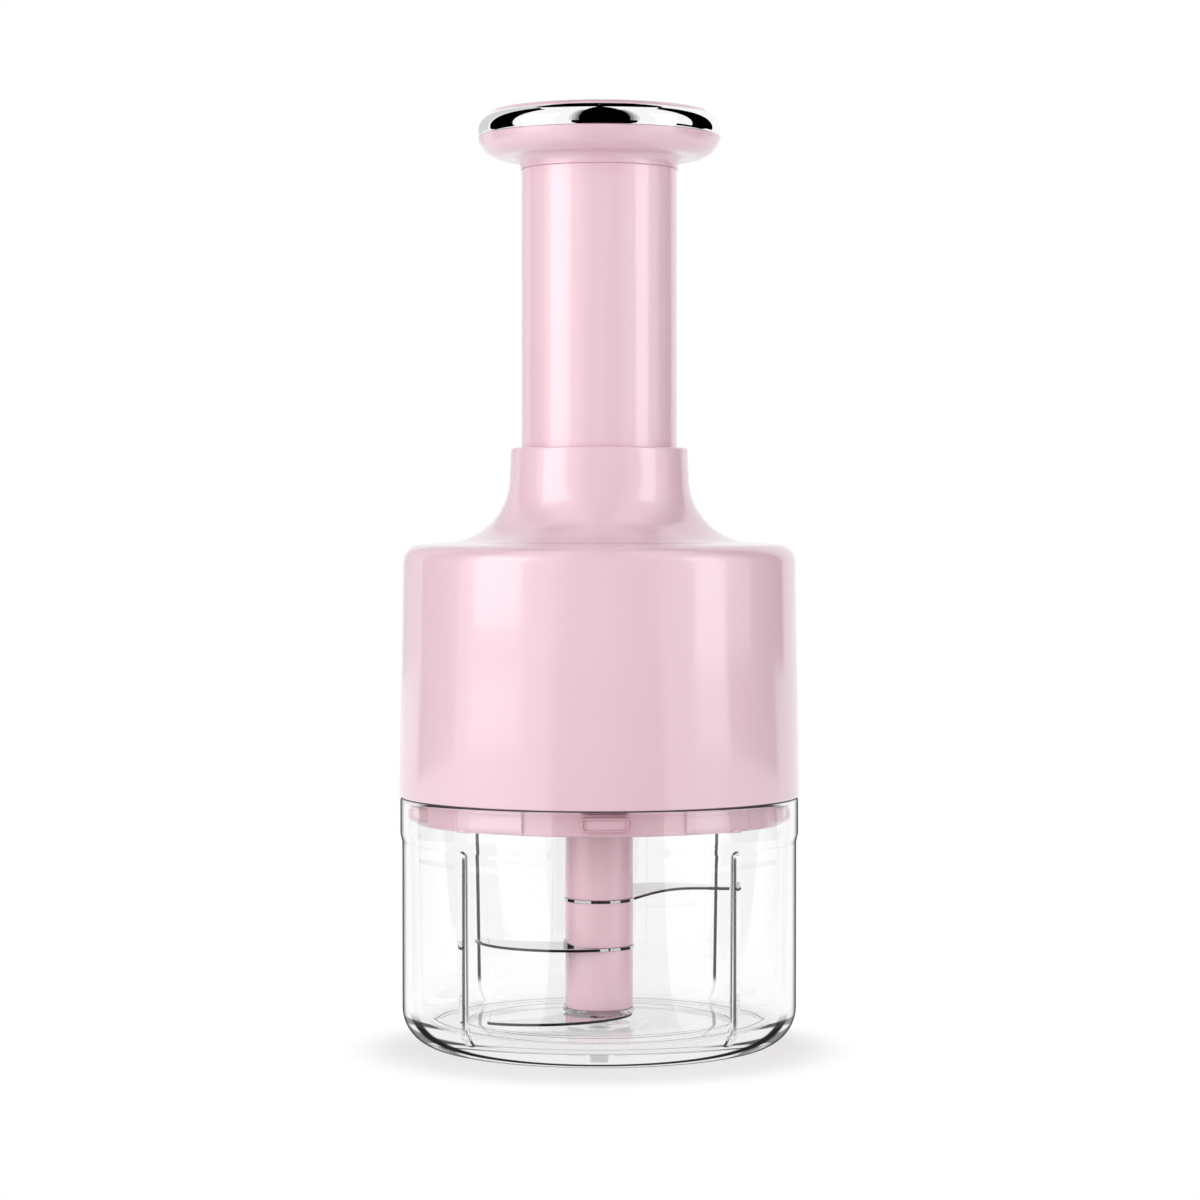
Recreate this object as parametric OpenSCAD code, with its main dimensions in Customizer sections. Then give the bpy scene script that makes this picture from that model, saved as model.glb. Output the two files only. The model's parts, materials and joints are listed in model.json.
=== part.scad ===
// Plunger food chopper: a clear bowl with a pivoting stack of three blades, closed by a head
// whose hand plunger pushes a nut down a steep screw. The screw turns the blades through a
// ratchet and a planetary gear set that speeds them up, and a spring lifts the plunger again.
// +Z is up. The origin is on the axis, on the surface that the bowl stands on. Millimetres.
// The front, which the middle gap pad of the lid faces, is -Y.

/* [Bowl] */
// Outer radius of the bowl's wall
bowl_r = 51.2; // [49:0.2:54]
// Height of the bowl's rim
bowl_h = 64.4; // [60:0.2:75]
// Thickness of the bowl's wall at its foot, from where it thins up to the rim
bowl_wall = 2.6; // [2.2:0.1:3]
// Thickness of the bowl's floor
bowl_floor = 5.2; // [4.6:0.1:5.6]
// Radius of the outer bottom corner
bowl_corner_r = 10; // [8:0.5:11]
// Radius of the inner bottom corner
bowl_inner_corner_r = 5.6; // [4:0.2:7]
// Height of the thinner rim that takes the lid's skirt
rim_h = 10.2; // [9:0.2:12]
// Thickness of the wall at the top of the rim
rim_wall = 1.6; // [1.4:0.1:1.8]
// How far the rim stands proud of the wall outside
rim_lip = 0.5; // [0.3:0.1:0.8]
// Radius of the hollow under the base
recess_r = 34; // [30:0.5:37]
// Depth of the hollow under the base
recess_depth = 1.2; // [0.8:0.1:1.5]
// Number of upright ribs inside the wall
rib_count = 4; // [3:1:6]
// How far a rib stands into the bowl
rib_depth = 1.6; // [1.2:0.1:2.4]
// Width of a rib
rib_w = 3.6; // [3:0.1:5]

/* [Pivot] */
// Radius of the steel pin in the floor
pin_r = 2.5; // [2:0.1:3]
// How far the pin stands above the floor
pin_up = 8.6; // [7:0.2:10]
// How deep the pin is set into the floor
pin_set = 2.6; // [2:0.1:3]
// Radius of the raised disc round the pin
boss_r = 12.4; // [11:0.2:14]
// Height of the raised disc
boss_h = 0.7; // [0.5:0.1:0.9]

/* [Blades] */
// Outer radius of the blade shaft and its sleeves
shaft_r = 8.8; // [8.4:0.1:9.6]
// Radius of the core that carries the blades and sleeves
core_r = 6.2; // [5.8:0.1:6.6]
// Width across the two flats that key the blades to the core
core_flats = 10.4; // [9.6:0.1:10.8]
// Thickness of the blade steel
blade_t = 0.8; // [0.6:0.05:1]
// Distance from the axis to a blade's tip
blade_reach = 35; // [31:0.5:38]
// How far a blade's ring stands proud of the sleeves
ring_lip = 0.4; // [0.2:0.05:0.7]
// Height of the upper blade's ring
upper_blade_z = 37; // [34:0.5:39]
// Height of the middle blade's ring
middle_blade_z = 24.7; // [22:0.1:28]
// Height of the lower blade's ring
lower_blade_z = 8.5; // [8.4:0.1:9.4]
// Direction of the upper blade, counter-clockwise from +X
upper_blade_turn = 32; // [0:1:60]
// Direction of the middle blade
middle_blade_turn = 180; // [150:1:200]
// Direction of the lower blade
lower_blade_turn = 238; // [220:1:260]
// How far the upper blade's arm is bent up
upper_blade_bend = 1.9; // [0:0.1:3]
// How far the lower blade's arm is bent down
lower_blade_bend = 0.9; // [0.6:0.1:1.6]
// Length over which an arm takes its bend
bend_run = 15; // [6:0.5:18]
// Height of the folded tab that locks a blade against its sleeve
tab_h = 1.4; // [0.8:0.1:2]
// Width across the flats of the drive hexagon
drive_flats = 8; // [7:0.1:8.4]
// Depth of the hexagon socket in the top of the shaft
socket_depth = 14.4; // [12:0.2:16]

/* [Head] */
// Thickness of the silicone seal between the head and the rim
seal_t = 0.6; // [0.5:0.05:1]
// How far the housing stands proud of the bowl's rim
housing_lip = 0.3; // [0.1:0.1:0.8]
// Radius that the housing loses from its lower edge to its shoulder
housing_draft = 1; // [0:0.1:1.5]
// Height of the housing from its lower edge to the shoulder
housing_h = 65; // [62:0.5:72]
// Thickness of the housing's wall
housing_wall = 2.4; // [2:0.1:2.6]
// Radius of the rounded shoulder edge
shoulder_r = 4.6; // [3.5:0.1:6]
// How much the shoulder rises towards the neck
shoulder_crown = 0.5; // [0.2:0.1:1]
// Radius of the sweep from the shoulder into the neck
flare_r = 17; // [16:0.5:18]
// Height of the neck above the shoulder
neck_h = 25; // [24:0.5:29]
// Thickness of the neck's wall at its mouth
neck_wall = 2.5; // [2.4:0.1:3]
// Length of the bore that guides the plunger
guide_len = 18; // [17.4:0.2:18.4]
// Depth of the lid's skirt below the housing
skirt_h = 7; // [6.4:0.2:8]
// Thickness of the lid's plate
lid_t = 2.4; // [2:0.1:2.8]
// Thickness of the lid's skirt
skirt_wall = 2.4; // [2.2:0.1:2.8]
// Number of panels and centring lugs round the skirt
lug_count = 5; // [4:1:6]
// Turn of the first lug from the front
lug_turn = 1.6; // [-5:0.2:5]
// Angle that one panel spans
panel_angle = 49; // [44:1:56]
// Depth of a panel in the skirt
panel_depth = 0.8; // [0.5:0.1:1]
// Width of a centring lug
lug_w = 12; // [10:0.5:14]
// Height of a centring lug
lug_h = 3.6; // [3.2:0.1:4]
// Depth of the pocket in a lug
pocket_depth = 0.7; // [0.4:0.1:0.9]

/* [Screw posts] */
// Number of screws that hold the lid to the housing
post_count = 4; // [3:1:6]
// How far the posts' middles lie inside the bowl's outer wall
post_inset = 6.2; // [6:0.1:6.6]
// Radius of a post
post_r = 3.6; // [3.4:0.1:3.8]
// Radius of a screw's shank
screw_r = 1.45; // [1.2:0.05:1.6]
// Radius of a screw's head
screw_head_r = 2.6; // [2.4:0.1:2.8]
// Length of a screw under its head
screw_len = 12; // [10:0.5:14]

/* [Plunger] */
// Radius of the plunger's tube
tube_r = 20.2; // [19.4:0.1:20.6]
// Thickness of the tube's wall
tube_wall = 2; // [1.8:0.1:2.4]
// Length of tube that shows above the neck at rest
tube_shown = 72; // [66:1:78]
// Travel of the plunger
stroke = 58; // [50:0.5:58.5]
// Height of the foot ring that runs in the sleeve
foot_h = 4.6; // [4:0.1:5]
// How far the foot ring stands proud of the tube
foot_lip = 2.2; // [2:0.1:2.4]
// How far the foot's keys stand proud of its ring
key_depth = 1.9; // [1.6:0.1:2]
// Width of a key
key_w = 5; // [4:0.2:6]
// Wall of the guide sleeve
sleeve_wall = 3.1; // [3:0.1:3.2]

/* [Knob] */
// Greatest radius of the knob
knob_r = 31.6; // [29:0.2:34]
// Height of the knob's lower shell
knob_body_h = 8.5; // [8:0.1:10]
// Height of the bright ring
ring_h = 5.4; // [5:0.1:6]
// Height of the cap's straight edge above the bright ring
cap_side_h = 0.9; // [0.5:0.1:1.4]
// Height of the dome above that edge
dome_h = 2.6; // [2:0.1:4]
// Thickness of the knob's walls
knob_wall = 2; // [1.8:0.1:2.4]

/* [Gear set] */
// How far the ring gear's pitch circle lies inside the bowl's outer wall
ring_inset = 13.7; // [13.4:0.1:15]
// Teeth on the sun gear
sun_teeth = 18; // [15:3:21]
// Teeth on each planet gear
planet_teeth = 21; // [18:3:24]
// Width of the gears
gear_w = 6; // [5:0.1:6.4]
// Pressure angle of the teeth
pressure_angle = 22.5; // [20:0.5:25]
// Play between the flanks, measured on the pitch circle
backlash = 0.24; // [0.2:0.02:0.4]
// Radius of a planet's steel pin
planet_pin_r = 2; // [1.8:0.1:2.4]
// Thickness of the planet carrier
carrier_t = 2; // [1.8:0.1:2.2]
// Thickness of the gear cap
cap_t = 1.6; // [1.4:0.1:1.8]
// Teeth in the ratchet
ratchet_teeth = 24; // [18:3:30]
// Height of the ratchet
ratchet_h = 4; // [3.6:0.1:4.2]
// Outer radius of the ratchet
ratchet_r = 15.2; // [14.6:0.1:15.6]

/* [Screw drive] */
// Advance of the screw in one turn
screw_lead = 60; // [50:1:70]
// Mean radius of the fluted screw
flute_r = 4.5; // [4.3:0.1:4.7]
// Height of the flutes about that radius
flute_h = 0.8; // [0.6:0.05:0.9]
// Number of flutes
flutes = 4; // [3:1:5]
// Length of thread in the nut
nut_len = 10; // [8:0.5:12]
// Outer radius of the tube that carries the nut
nut_tube_r = 9.4; // [9.2:0.1:9.8]
// Radius of the return spring's wire
wire_r = 1; // [0.8:0.05:1.1]
// Mean radius of the return spring
spring_r = 13.3; // [13.1:0.1:13.5]
// Number of the spring's turns
coils = 13; // [10:1:16]

/* [Fits] */
// Radial play of a part that turns on a pin or in a bore
run_gap = 0.05; // [0.03:0.01:0.08]
// Radial play of a part that slides by hand
slide_gap = 0.3; // [0.2:0.05:0.4]
// Radial play of a pressed or snapped seat
seat_gap = 0.02; // [0.01:0.01:0.04]
// Gap between a moving part and its stop
stop_gap = 0.2; // [0.1:0.05:0.3]
// Gap between faces that pass each other
face_gap = 0.4; // [0.3:0.05:0.5]

/* [Hidden] */
$fn = 96;
fine = 8; // steps along a rounded profile
cut = 1; // how far a cutter runs past what it cuts
front = 270;

// Heights of the bowl
rim_z = bowl_h;
rim_step_z = rim_z - rim_h;
wall_in_r = bowl_r - bowl_wall;
rim_r = bowl_r + rim_lip;
rim_in_r = rim_r - rim_wall;
floor_z = bowl_floor;
boss_z = floor_z + boss_h;

// The blade shaft
shaft_foot_z = boss_z + 1.1;
pad_z = shaft_foot_z - stop_gap;
pad_r = pin_r + 2.5;
shaft_cap_t = lower_blade_z - shaft_foot_z;
core_foot_z = shaft_foot_z + 0.4;
pin_top_z = floor_z + pin_up;
bore_top_z = pin_top_z + 1;
ring_r = shaft_r + ring_lip;

// Heights of the head
head_z = rim_z + seal_t;
housing_r = rim_r + housing_lip;
post_at = bowl_r - post_inset;
shoulder_z = head_z + housing_h;
neck_z = shoulder_z + neck_h;
stop_z = neck_z - guide_len;
lid_z = head_z - skirt_h;
lid_top_z = lid_z + lid_t;
shaft_top_z = lid_z - 0.6;
lug_r = rim_in_r - slide_gap;
skirt_r = lug_r - 0.9;
spigot_r = housing_r - housing_wall - seat_gap - 0.2;
spigot_top_z = head_z + 2.6;
panel_top_z = lid_z + 5.5;
lug_z = lid_z + 1.4;

// The gear set, from the lid up
ring_pitch_r = bowl_r - ring_inset;
ring_teeth = sun_teeth + 2 * planet_teeth;
gear_m = 2 * ring_pitch_r / ring_teeth;
sun_r = gear_m * sun_teeth / 2;
planet_r = gear_m * planet_teeth / 2;
planet_at = sun_r + planet_r;
addendum = 0.8 * gear_m;
dedendum = 1.05 * gear_m;
planets = 3;
gear_z = lid_top_z + 2 * face_gap;
gear_top_z = gear_z + gear_w;
carrier_z = gear_top_z + face_gap;
carrier_top_z = carrier_z + carrier_t;
cap_z = carrier_top_z + 1.5 * face_gap;
cap_top_z = cap_z + cap_t;
ratchet_top_z = carrier_top_z + ratchet_h;
ceiling_z = ratchet_top_z + face_gap;
ceiling_top_z = ceiling_z + 2;
ring_gear_r = ring_pitch_r + dedendum + 2.1;
carrier_r = ring_pitch_r - addendum - 0.4;
well_r = ratchet_r + face_gap;
cap_boss_r = well_r + 1.8;
journal_r = flute_r + flute_h + 0.3;
hex_flats = 8;
spindle_r = drive_flats / 2 / cos(30) + 0.4;
bush_r = spindle_r + run_gap + 2;

// The plunger
bore_r = tube_r + slide_gap;
collar_r = bore_r + neck_wall;
flare_c = [collar_r + 0.3 + flare_r, shoulder_z + shoulder_crown + flare_r];
foot_r = tube_r + foot_lip;
foot_top_z = stop_z - stop_gap;
foot_z = foot_top_z - foot_h;
tube_end_r = tube_r - 1.2;
key_r = foot_r + key_depth;
sleeve_in_r = foot_r + slide_gap;
sleeve_r = sleeve_in_r + sleeve_wall;
sleeve_z = cap_top_z + 0.1;
sleeve_top_z = stop_z - 1.6;
groove_r = key_r + slide_gap;
keys = 3;
tube_top_z = neck_z + tube_shown;
head_plate_z = tube_top_z - 3;
head_plate_top_z = tube_top_z + 2;
flange_z = head_plate_z - 2.4;
flange_r = spring_r + 1.5;
peg_at = 11;
peg_r = 1.6;
knob_screw_at = 14;
nut_bore_r = nut_tube_r - 1.8;
nut_flange_z = foot_z + 3.8;
nut_z = nut_flange_z + 1.5;
screw_z = ceiling_top_z + 0.2;
screw_top_z = nut_z + nut_len + 4;
flute_gap = 0.25;

// The knob
knob_seat_z = head_plate_top_z + 0.2;
knob_floor_z = knob_seat_z + 2;
knob_rim_z = tube_top_z + knob_body_h;
bright_top_z = knob_rim_z + ring_h;
cap_side_z = bright_top_z + cap_side_h;
knob_top_z = cap_side_z + dome_h;
cap_edge_r = knob_r - 2.8;
cap_skirt_r = knob_r - 3.8;
ledge_z = knob_rim_z - 1.2;

// ---- Shared shapes ----

// Points on an arc about c, from angle a to angle b
function arc(c, r, a, b, n = fine) =
    [for (i = [0:n]) c + r * [cos(a + (b - a) * i / n), sin(a + (b - a) * i / n)]];

function polar(r, a) = r * [cos(a), sin(a)];

module at(r, a) {
    rotate(a) translate([r, 0, 0]) children();
}

module around(n, r = 0, turn = 0) {
    for (i = [0:n - 1]) at(r, turn + i * 360 / n) children();
}

module disc(z, top, r) {
    translate([0, 0, z]) cylinder(h = top - z, r = r);
}

module tube(z, top, r_in, r_out) {
    difference() {
        disc(z, top, r_out);
        disc(z - cut, top + cut, r_in);
    }
}

module hex_bar(z, top, flats) {
    translate([0, 0, z]) cylinder(h = top - z, r = flats / 2 / cos(30), $fn = 6);
}

// The round core with its two flats, grown by a gap
module keyed_core(z, top, gap = 0) {
    intersection() {
        disc(z, top, core_r + gap);
        translate([-core_r - cut, -core_flats / 2 - gap, z])
            cube([2 * (core_r + cut), core_flats + 2 * gap, top - z]);
    }
}

// Angle between a gear flank and the radial line, in degrees
function involute(base_r, r) =
    r <= base_r ? 0 : (tan(acos(base_r / r)) * 180 / PI - acos(base_r / r));

// Outline of a spur gear: root_r and tip_r bound its teeth, widen thickens them on the pitch circle
function gear_outline(teeth, root_r, tip_r, widen = 0) =
    let (
        pitch_r = gear_m * teeth / 2,
        base_r = pitch_r * cos(pressure_angle),
        half = 90 / teeth + (widen / 2) / pitch_r * 180 / PI + involute(base_r, pitch_r),
        steps = 4,
        low_r = max(root_r, base_r),
        flank = concat(
            root_r < base_r ? [root_r] : [],
            [for (i = [0:steps]) low_r + (tip_r - low_r) * i / steps])
    )
    [for (k = [0:teeth - 1])
        let (mid = k * 360 / teeth)
        each concat(
            [for (r = flank) polar(r, mid - half + involute(base_r, r))],
            [for (i = [len(flank) - 1:-1:0])
                polar(flank[i], mid + half - involute(base_r, flank[i]))])];

// ---- Bowl ----

module bowl_profile() {
    corner = [bowl_r - bowl_corner_r, bowl_corner_r];
    in_corner = [wall_in_r - bowl_inner_corner_r, floor_z + bowl_inner_corner_r];
    lip = rim_wall / 2 - 0.1;
    low = rim_step_z - 1.2;
    high = rim_step_z + 0.8;
    thin = (bowl_wall - rim_wall) / (rim_z - in_corner[1]);
    polygon(concat(
        [[0, recess_depth], [recess_r, recess_depth], [recess_r + recess_depth, 0]],
        arc(corner, bowl_corner_r, -90, 0, 10),
        [[bowl_r, rim_step_z - 1.1], [rim_r, rim_step_z + 0.7]],
        arc([rim_r - lip, rim_z - lip], lip, 0, 90, 4),
        [[rim_in_r, rim_z], [rim_in_r - thin * (rim_z - high), high],
         [rim_in_r - rim_lip - thin * (rim_z - low), low]],
        arc(in_corner, bowl_inner_corner_r, 0, -90, 8),
        [[boss_r, floor_z], [boss_r - boss_h, boss_z], [pad_r + 1, boss_z], [pad_r, pad_z],
         [0, pad_z]]
    ));
}

// An upright rib: a raised strip on the inner wall with a round upper end
module rib() {
    rib_upright();
    rib_foot();
}

// Where the rib runs out along the floor, past the round inner corner
module rib_foot() {
    crest = wall_in_r - rib_depth;
    foot = rib_depth + 1;
    rotate([90, 0, 0]) translate([0, 0, -rib_w / 2 + 0.4]) linear_extrude(rib_w - 0.8)
        polygon(concat(
            [[crest + 1, floor_z + foot + 2], [crest + 1, floor_z - cut], [crest - foot, floor_z - cut]],
            arc([crest - foot, floor_z + foot], foot, -90, 0, 6)
        ));
}

module rib_upright() {
    crest = wall_in_r - rib_depth;
    back = bowl_r - 0.6;
    end_z = rim_step_z - 0.3 - rib_w / 2;
    intersection() {
        translate([(crest + back) / 2, 0, floor_z - cut]) linear_extrude(rim_step_z - floor_z + cut)
            rounded_plate(back - crest, rib_w, 0.6);
        rotate([90, 0, 90]) linear_extrude(bowl_r) union() {
            translate([0, end_z]) circle(r = rib_w / 2, $fn = 32);
            translate([-rib_w / 2, floor_z - cut]) square([rib_w, end_z - floor_z + cut]);
        }
    }
}

module bowl() {
    color("gainsboro", 0.4) difference() {
        union() {
            rotate_extrude() bowl_profile();
            around(rib_count, 0, 45) rib();
        }
        disc(floor_z - pin_set, pad_z + cut, pin_r);
    }
}

module floor_pin() {
    color("silver") rotate_extrude() polygon([
        [0, floor_z - pin_set], [pin_r, floor_z - pin_set], [pin_r, pin_top_z - 1],
        [pin_r - 0.8, pin_top_z], [0, pin_top_z]
    ]);
}

// ---- Blade shaft ----

module blade_shaft() {
    color("pink") difference() {
        union() {
            rotate_extrude() polygon([
                [0, upper_blade_z + blade_t], [shaft_r, upper_blade_z + blade_t],
                [shaft_r, shaft_top_z - 0.5], [shaft_r - 0.5, shaft_top_z], [0, shaft_top_z]
            ]);
            keyed_core(core_foot_z, upper_blade_z + blade_t + cut);
        }
        hex_bar(shaft_top_z - socket_depth, shaft_top_z + cut, drive_flats + 2 * stop_gap);
        disc(core_foot_z - cut, bore_top_z, pin_r + run_gap);
    }
}

module shaft_sleeve(z, top) {
    color("pink") tube(z, top, core_r + seat_gap, shaft_r);
}

module middle_sleeve() {
    shaft_sleeve(middle_blade_z + blade_t, upper_blade_z);
}

module lower_sleeve() {
    shaft_sleeve(lower_blade_z + blade_t, middle_blade_z);
}

module shaft_cap() {
    color("pink") difference() {
        rotate_extrude() polygon([
            [0, shaft_foot_z], [shaft_r - 0.9, shaft_foot_z], [shaft_r - 0.3, shaft_foot_z + 0.6],
            [shaft_r - 0.3, lower_blade_z], [0, lower_blade_z]
        ]);
        keyed_core(core_foot_z, lower_blade_z + cut, seat_gap);
        disc(shaft_foot_z - cut, lower_blade_z, pin_r + run_gap);
    }
}

// Plan of a blade that points along +X: a convex cutting edge and a hollow back
module blade_plan() {
    difference() {
        translate(blade_reach * [0.2286, -0.4]) circle(r = 0.72 * blade_reach);
        translate(blade_reach * [0.343, -0.914]) circle(r = 0.771 * blade_reach);
        translate([2, 0]) rotate(25) translate([-2 * blade_reach, -2 * blade_reach])
            square([2 * blade_reach, 4 * blade_reach]);
        translate([0, -2 * blade_reach - 0.38 * blade_reach]) square(2 * blade_reach);
    }
}

// Side view of the sheet: flat at the ring, then it eases over to its new height
module sheet_side(bend, run) {
    start = ring_r + 0.3;
    far = blade_reach + cut;
    path = concat([[0, 0]], [for (i = [0:5]) [start + run * i / 5, bend * sin(18 * i)]], [[far, bend]]);
    polygon(concat(path, [for (i = [len(path) - 1:-1:0]) path[i] + [0, blade_t]]));
}

// The tab folded up from the ring beside the arm, with one sloping end
module blade_tab() {
    in_r = shaft_r + 0.05;
    half = 0.52 * ring_r;
    rotate(28) intersection() {
        tube(0, blade_t + tab_h, in_r, in_r + 0.75 * blade_t);
        rotate([90, 0, 90]) linear_extrude(2 * ring_r)
            polygon([[-half, 0], [-half, blade_t + tab_h], [0.3 * half, blade_t + tab_h], [half, blade_t],
                     [half, 0]]);
    }
}

module blade(z, turn, bend, run) {
    color("silver") rotate(turn) translate([0, 0, z]) difference() {
        union() {
            cylinder(h = blade_t, r = ring_r);
            blade_tab();
            intersection() {
                translate([0, 0, -10]) linear_extrude(20) blade_plan();
                rotate([90, 0, 0]) translate([0, 0, -blade_reach])
                    linear_extrude(2 * blade_reach) sheet_side(bend, run);
            }
        }
        rotate(-turn) translate([0, 0, -z]) keyed_core(z - cut, z + blade_t + cut, seat_gap);
        // The ground bevel follows the round cutting edge
        translate(concat(blade_reach * [0.2286, -0.4], bend + blade_t))
            rotate_extrude() translate([0.72 * blade_reach, 0])
                polygon([[-2, 0.01], [0.5, -blade_t * 0.9], [2, -blade_t * 0.9], [2, 0.3], [-2, 0.3]]);
    }
}

module upper_blade() {
    blade(upper_blade_z, upper_blade_turn, upper_blade_bend, bend_run);
}

module middle_blade() {
    blade(middle_blade_z, middle_blade_turn, 0, bend_run);
}

module lower_blade() {
    blade(lower_blade_z, lower_blade_turn, -lower_blade_bend, bend_run / 3);
}

// ---- Head ----

module housing_profile() {
    top_r = housing_r - housing_draft;
    corner = [top_r - shoulder_r, shoulder_z - shoulder_r];
    in_r = flare_r + housing_wall;
    socket_r = sleeve_r + seat_gap;
    socket_out_r = socket_r + 2;
    open_a = 180 + acos((flare_c[0] - socket_out_r) / in_r);
    polygon(concat(
        [[housing_r - housing_wall, head_z], [housing_r - 0.4, head_z], [housing_r, head_z + 0.4]],
        arc(corner, shoulder_r, 0, 90),
        arc(flare_c, flare_r, 270, 180, 12),
        [[collar_r, neck_z - 0.6]],
        arc([collar_r - 0.6, neck_z - 0.6], 0.6, 30, 90, 3),
        [[bore_r, neck_z], [bore_r, stop_z], [groove_r, stop_z], [groove_r, sleeve_top_z + 0.1],
         [socket_r, sleeve_top_z + 0.1], [socket_r, sleeve_top_z - 7], [socket_out_r, sleeve_top_z - 7]],
        arc(flare_c, in_r, open_a, 270, 10),
        arc(corner, shoulder_r - housing_wall, 90, 0)
    ));
}

module housing() {
    post_z = spigot_top_z + 0.1;
    post_top = shoulder_z - housing_wall + 0.6;
    color("pink") difference() {
        union() {
            rotate_extrude() housing_profile();
            around(post_count, post_at, 45) {
                disc(post_z, post_top, post_r);
                translate([0, -0.8, post_z])
                    cube([housing_r - housing_draft - post_at - 0.6, 1.6, shoulder_z - shoulder_r - post_z]);
            }
        }
        around(post_count, post_at, 45) disc(post_z - cut, post_z + screw_len, screw_r + seat_gap);
    }
}

module lid_profile() {
    turn_r = 1.8;
    polygon(concat(
        [[bush_r + seat_gap, lid_z]],
        arc([skirt_r - turn_r, lid_z + turn_r], turn_r, -90, 0, 5),
        [[skirt_r, head_z + 0.2], [spigot_r, head_z + 0.2], [spigot_r, spigot_top_z],
         [skirt_r - skirt_wall, spigot_top_z], [skirt_r - skirt_wall, lid_top_z],
         [ring_gear_r + 1.3, lid_top_z], [ring_gear_r + 1.3, lid_top_z + 3.6],
         [ring_gear_r + seat_gap, lid_top_z + 3.6], [ring_gear_r + seat_gap, lid_top_z],
         [bush_r + seat_gap, lid_top_z]]
    ));
}

// A rectangle with round corners, centred
module rounded_plate(w, h, r) {
    square([w - 2 * r, h], center = true);
    square([w, h - 2 * r], center = true);
    for (x = [-1, 1], y = [-1, 1])
        translate([x * (w / 2 - r), y * (h / 2 - r)]) circle(r = r, $fn = 32);
}

// The shape of a lug, cut to the given radii, facing out along +X
module lug_block(w, h, r, r_in, r_out) {
    intersection() {
        tube(lug_z - cut, lug_z + lug_h + cut, r_in, r_out);
        translate([0, 0, lug_z + lug_h / 2]) rotate([90, 0, 90]) linear_extrude(2 * bowl_r)
            rounded_plate(w, h, r);
    }
}

// A sector of a ring that spans the angle about +X
module ring_sector(z, top, r_in, r_out, angle) {
    far = 2 * r_out;
    intersection() {
        tube(z, top, r_in, r_out);
        translate([0, 0, z - cut]) linear_extrude(top - z + 2 * cut)
            polygon([[0, 0], polar(far, -angle / 2), polar(far, 0), polar(far, angle / 2)]);
    }
}

module lid() {
    panel_r = skirt_r - panel_depth;
    wall_z = lid_top_z + 3.6;
    color("pink") difference() {
        union() {
            difference() {
                rotate_extrude() lid_profile();
                around(lug_count, 0, front + lug_turn)
                    ring_sector(lid_z - cut, panel_top_z, panel_r, skirt_r + cut, panel_angle);
                around(4, 0, 0) translate([ring_gear_r - 1, -key_w / 2 - 0.1, lid_top_z])
                    cube([3, key_w + 0.2, 3.6 + cut]);
            }
            around(lug_count, 0, front + lug_turn)
                lug_block(lug_w, lug_h, 1.1, panel_r - 0.5, lug_r);
            around(post_count, post_at, 45) disc(lid_z, spigot_top_z, post_r);
        }
        around(lug_count, 0, front + lug_turn)
            lug_block(lug_w - 1.4, lug_h - 1.1, 0.6, lug_r - pocket_depth, lug_r + cut);
        around(post_count, post_at, 45) {
            disc(lid_z - cut, lid_z + 4, screw_head_r + slide_gap);
            disc(lid_z, spigot_top_z + cut, screw_r + 0.2);
        }
    }
}

module rim_seal() {
    color("dimgray") tube(rim_z, head_z, skirt_r + 0.1, rim_r - 0.5);
}

// A pan-head screw that seats at z and points along dir
module pan_screw(z, dir, len) {
    head_h = 0.7 * screw_head_r;
    translate([0, 0, z]) mirror([0, 0, dir > 0 ? 0 : 1]) difference() {
        rotate_extrude() polygon([
            [0, -head_h], [0.73 * screw_head_r, -head_h], [screw_head_r, -head_h * 2 / 3],
            [screw_head_r, 0], [screw_r, 0], [screw_r, len - 1], [0.5, len], [0, len]
        ]);
        for (a = [0, 90]) rotate(a) translate([-1.5, -0.3, -head_h - 0.2]) cube([3, 0.6, 1]);
    }
}

module lid_screws() {
    color("silver") around(post_count, post_at, 45) pan_screw(lid_z + 4, 1, screw_len);
}

module spindle_bush() {
    color("khaki") union() {
        tube(lid_z, lid_top_z + face_gap, spindle_r + run_gap, bush_r);
        tube(lid_top_z, lid_top_z + face_gap, spindle_r + run_gap, bush_r + 1);
    }
}

module guide_sleeve() {
    color("white") difference() {
        tube(sleeve_z, sleeve_top_z, sleeve_in_r, sleeve_r);
        around(keys, 0, 90) translate([sleeve_in_r - 1, -key_w / 2 - slide_gap, sleeve_z - cut])
            cube([groove_r - sleeve_in_r + 1, key_w + 2 * slide_gap, sleeve_top_z - sleeve_z + 2 * cut]);
    }
}

module gear_cap() {
    rim_in = ring_gear_r - 2;
    color("whitesmoke") rotate_extrude() polygon([
        [journal_r + run_gap, ceiling_z], [well_r, ceiling_z], [well_r, cap_z], [rim_in, cap_z],
        [rim_in, gear_top_z], [ring_gear_r, gear_top_z], [ring_gear_r, cap_top_z],
        [sleeve_r + 1.6, cap_top_z], [sleeve_r + 1.6, cap_top_z + 1.5],
        [sleeve_r + 0.2, cap_top_z + 1.5], [sleeve_r + 0.2, cap_top_z], [cap_boss_r, cap_top_z],
        [cap_boss_r, ceiling_top_z - 0.6], [cap_boss_r - 0.6, ceiling_top_z],
        [spring_r - wire_r - 0.4, ceiling_top_z], [spring_r - wire_r - 0.4, ceiling_top_z + 1.2],
        [spring_r - wire_r - 1.4, ceiling_top_z + 1.2], [spring_r - wire_r - 1.4, ceiling_top_z],
        [journal_r + run_gap, ceiling_top_z]
    ]);
}

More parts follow.
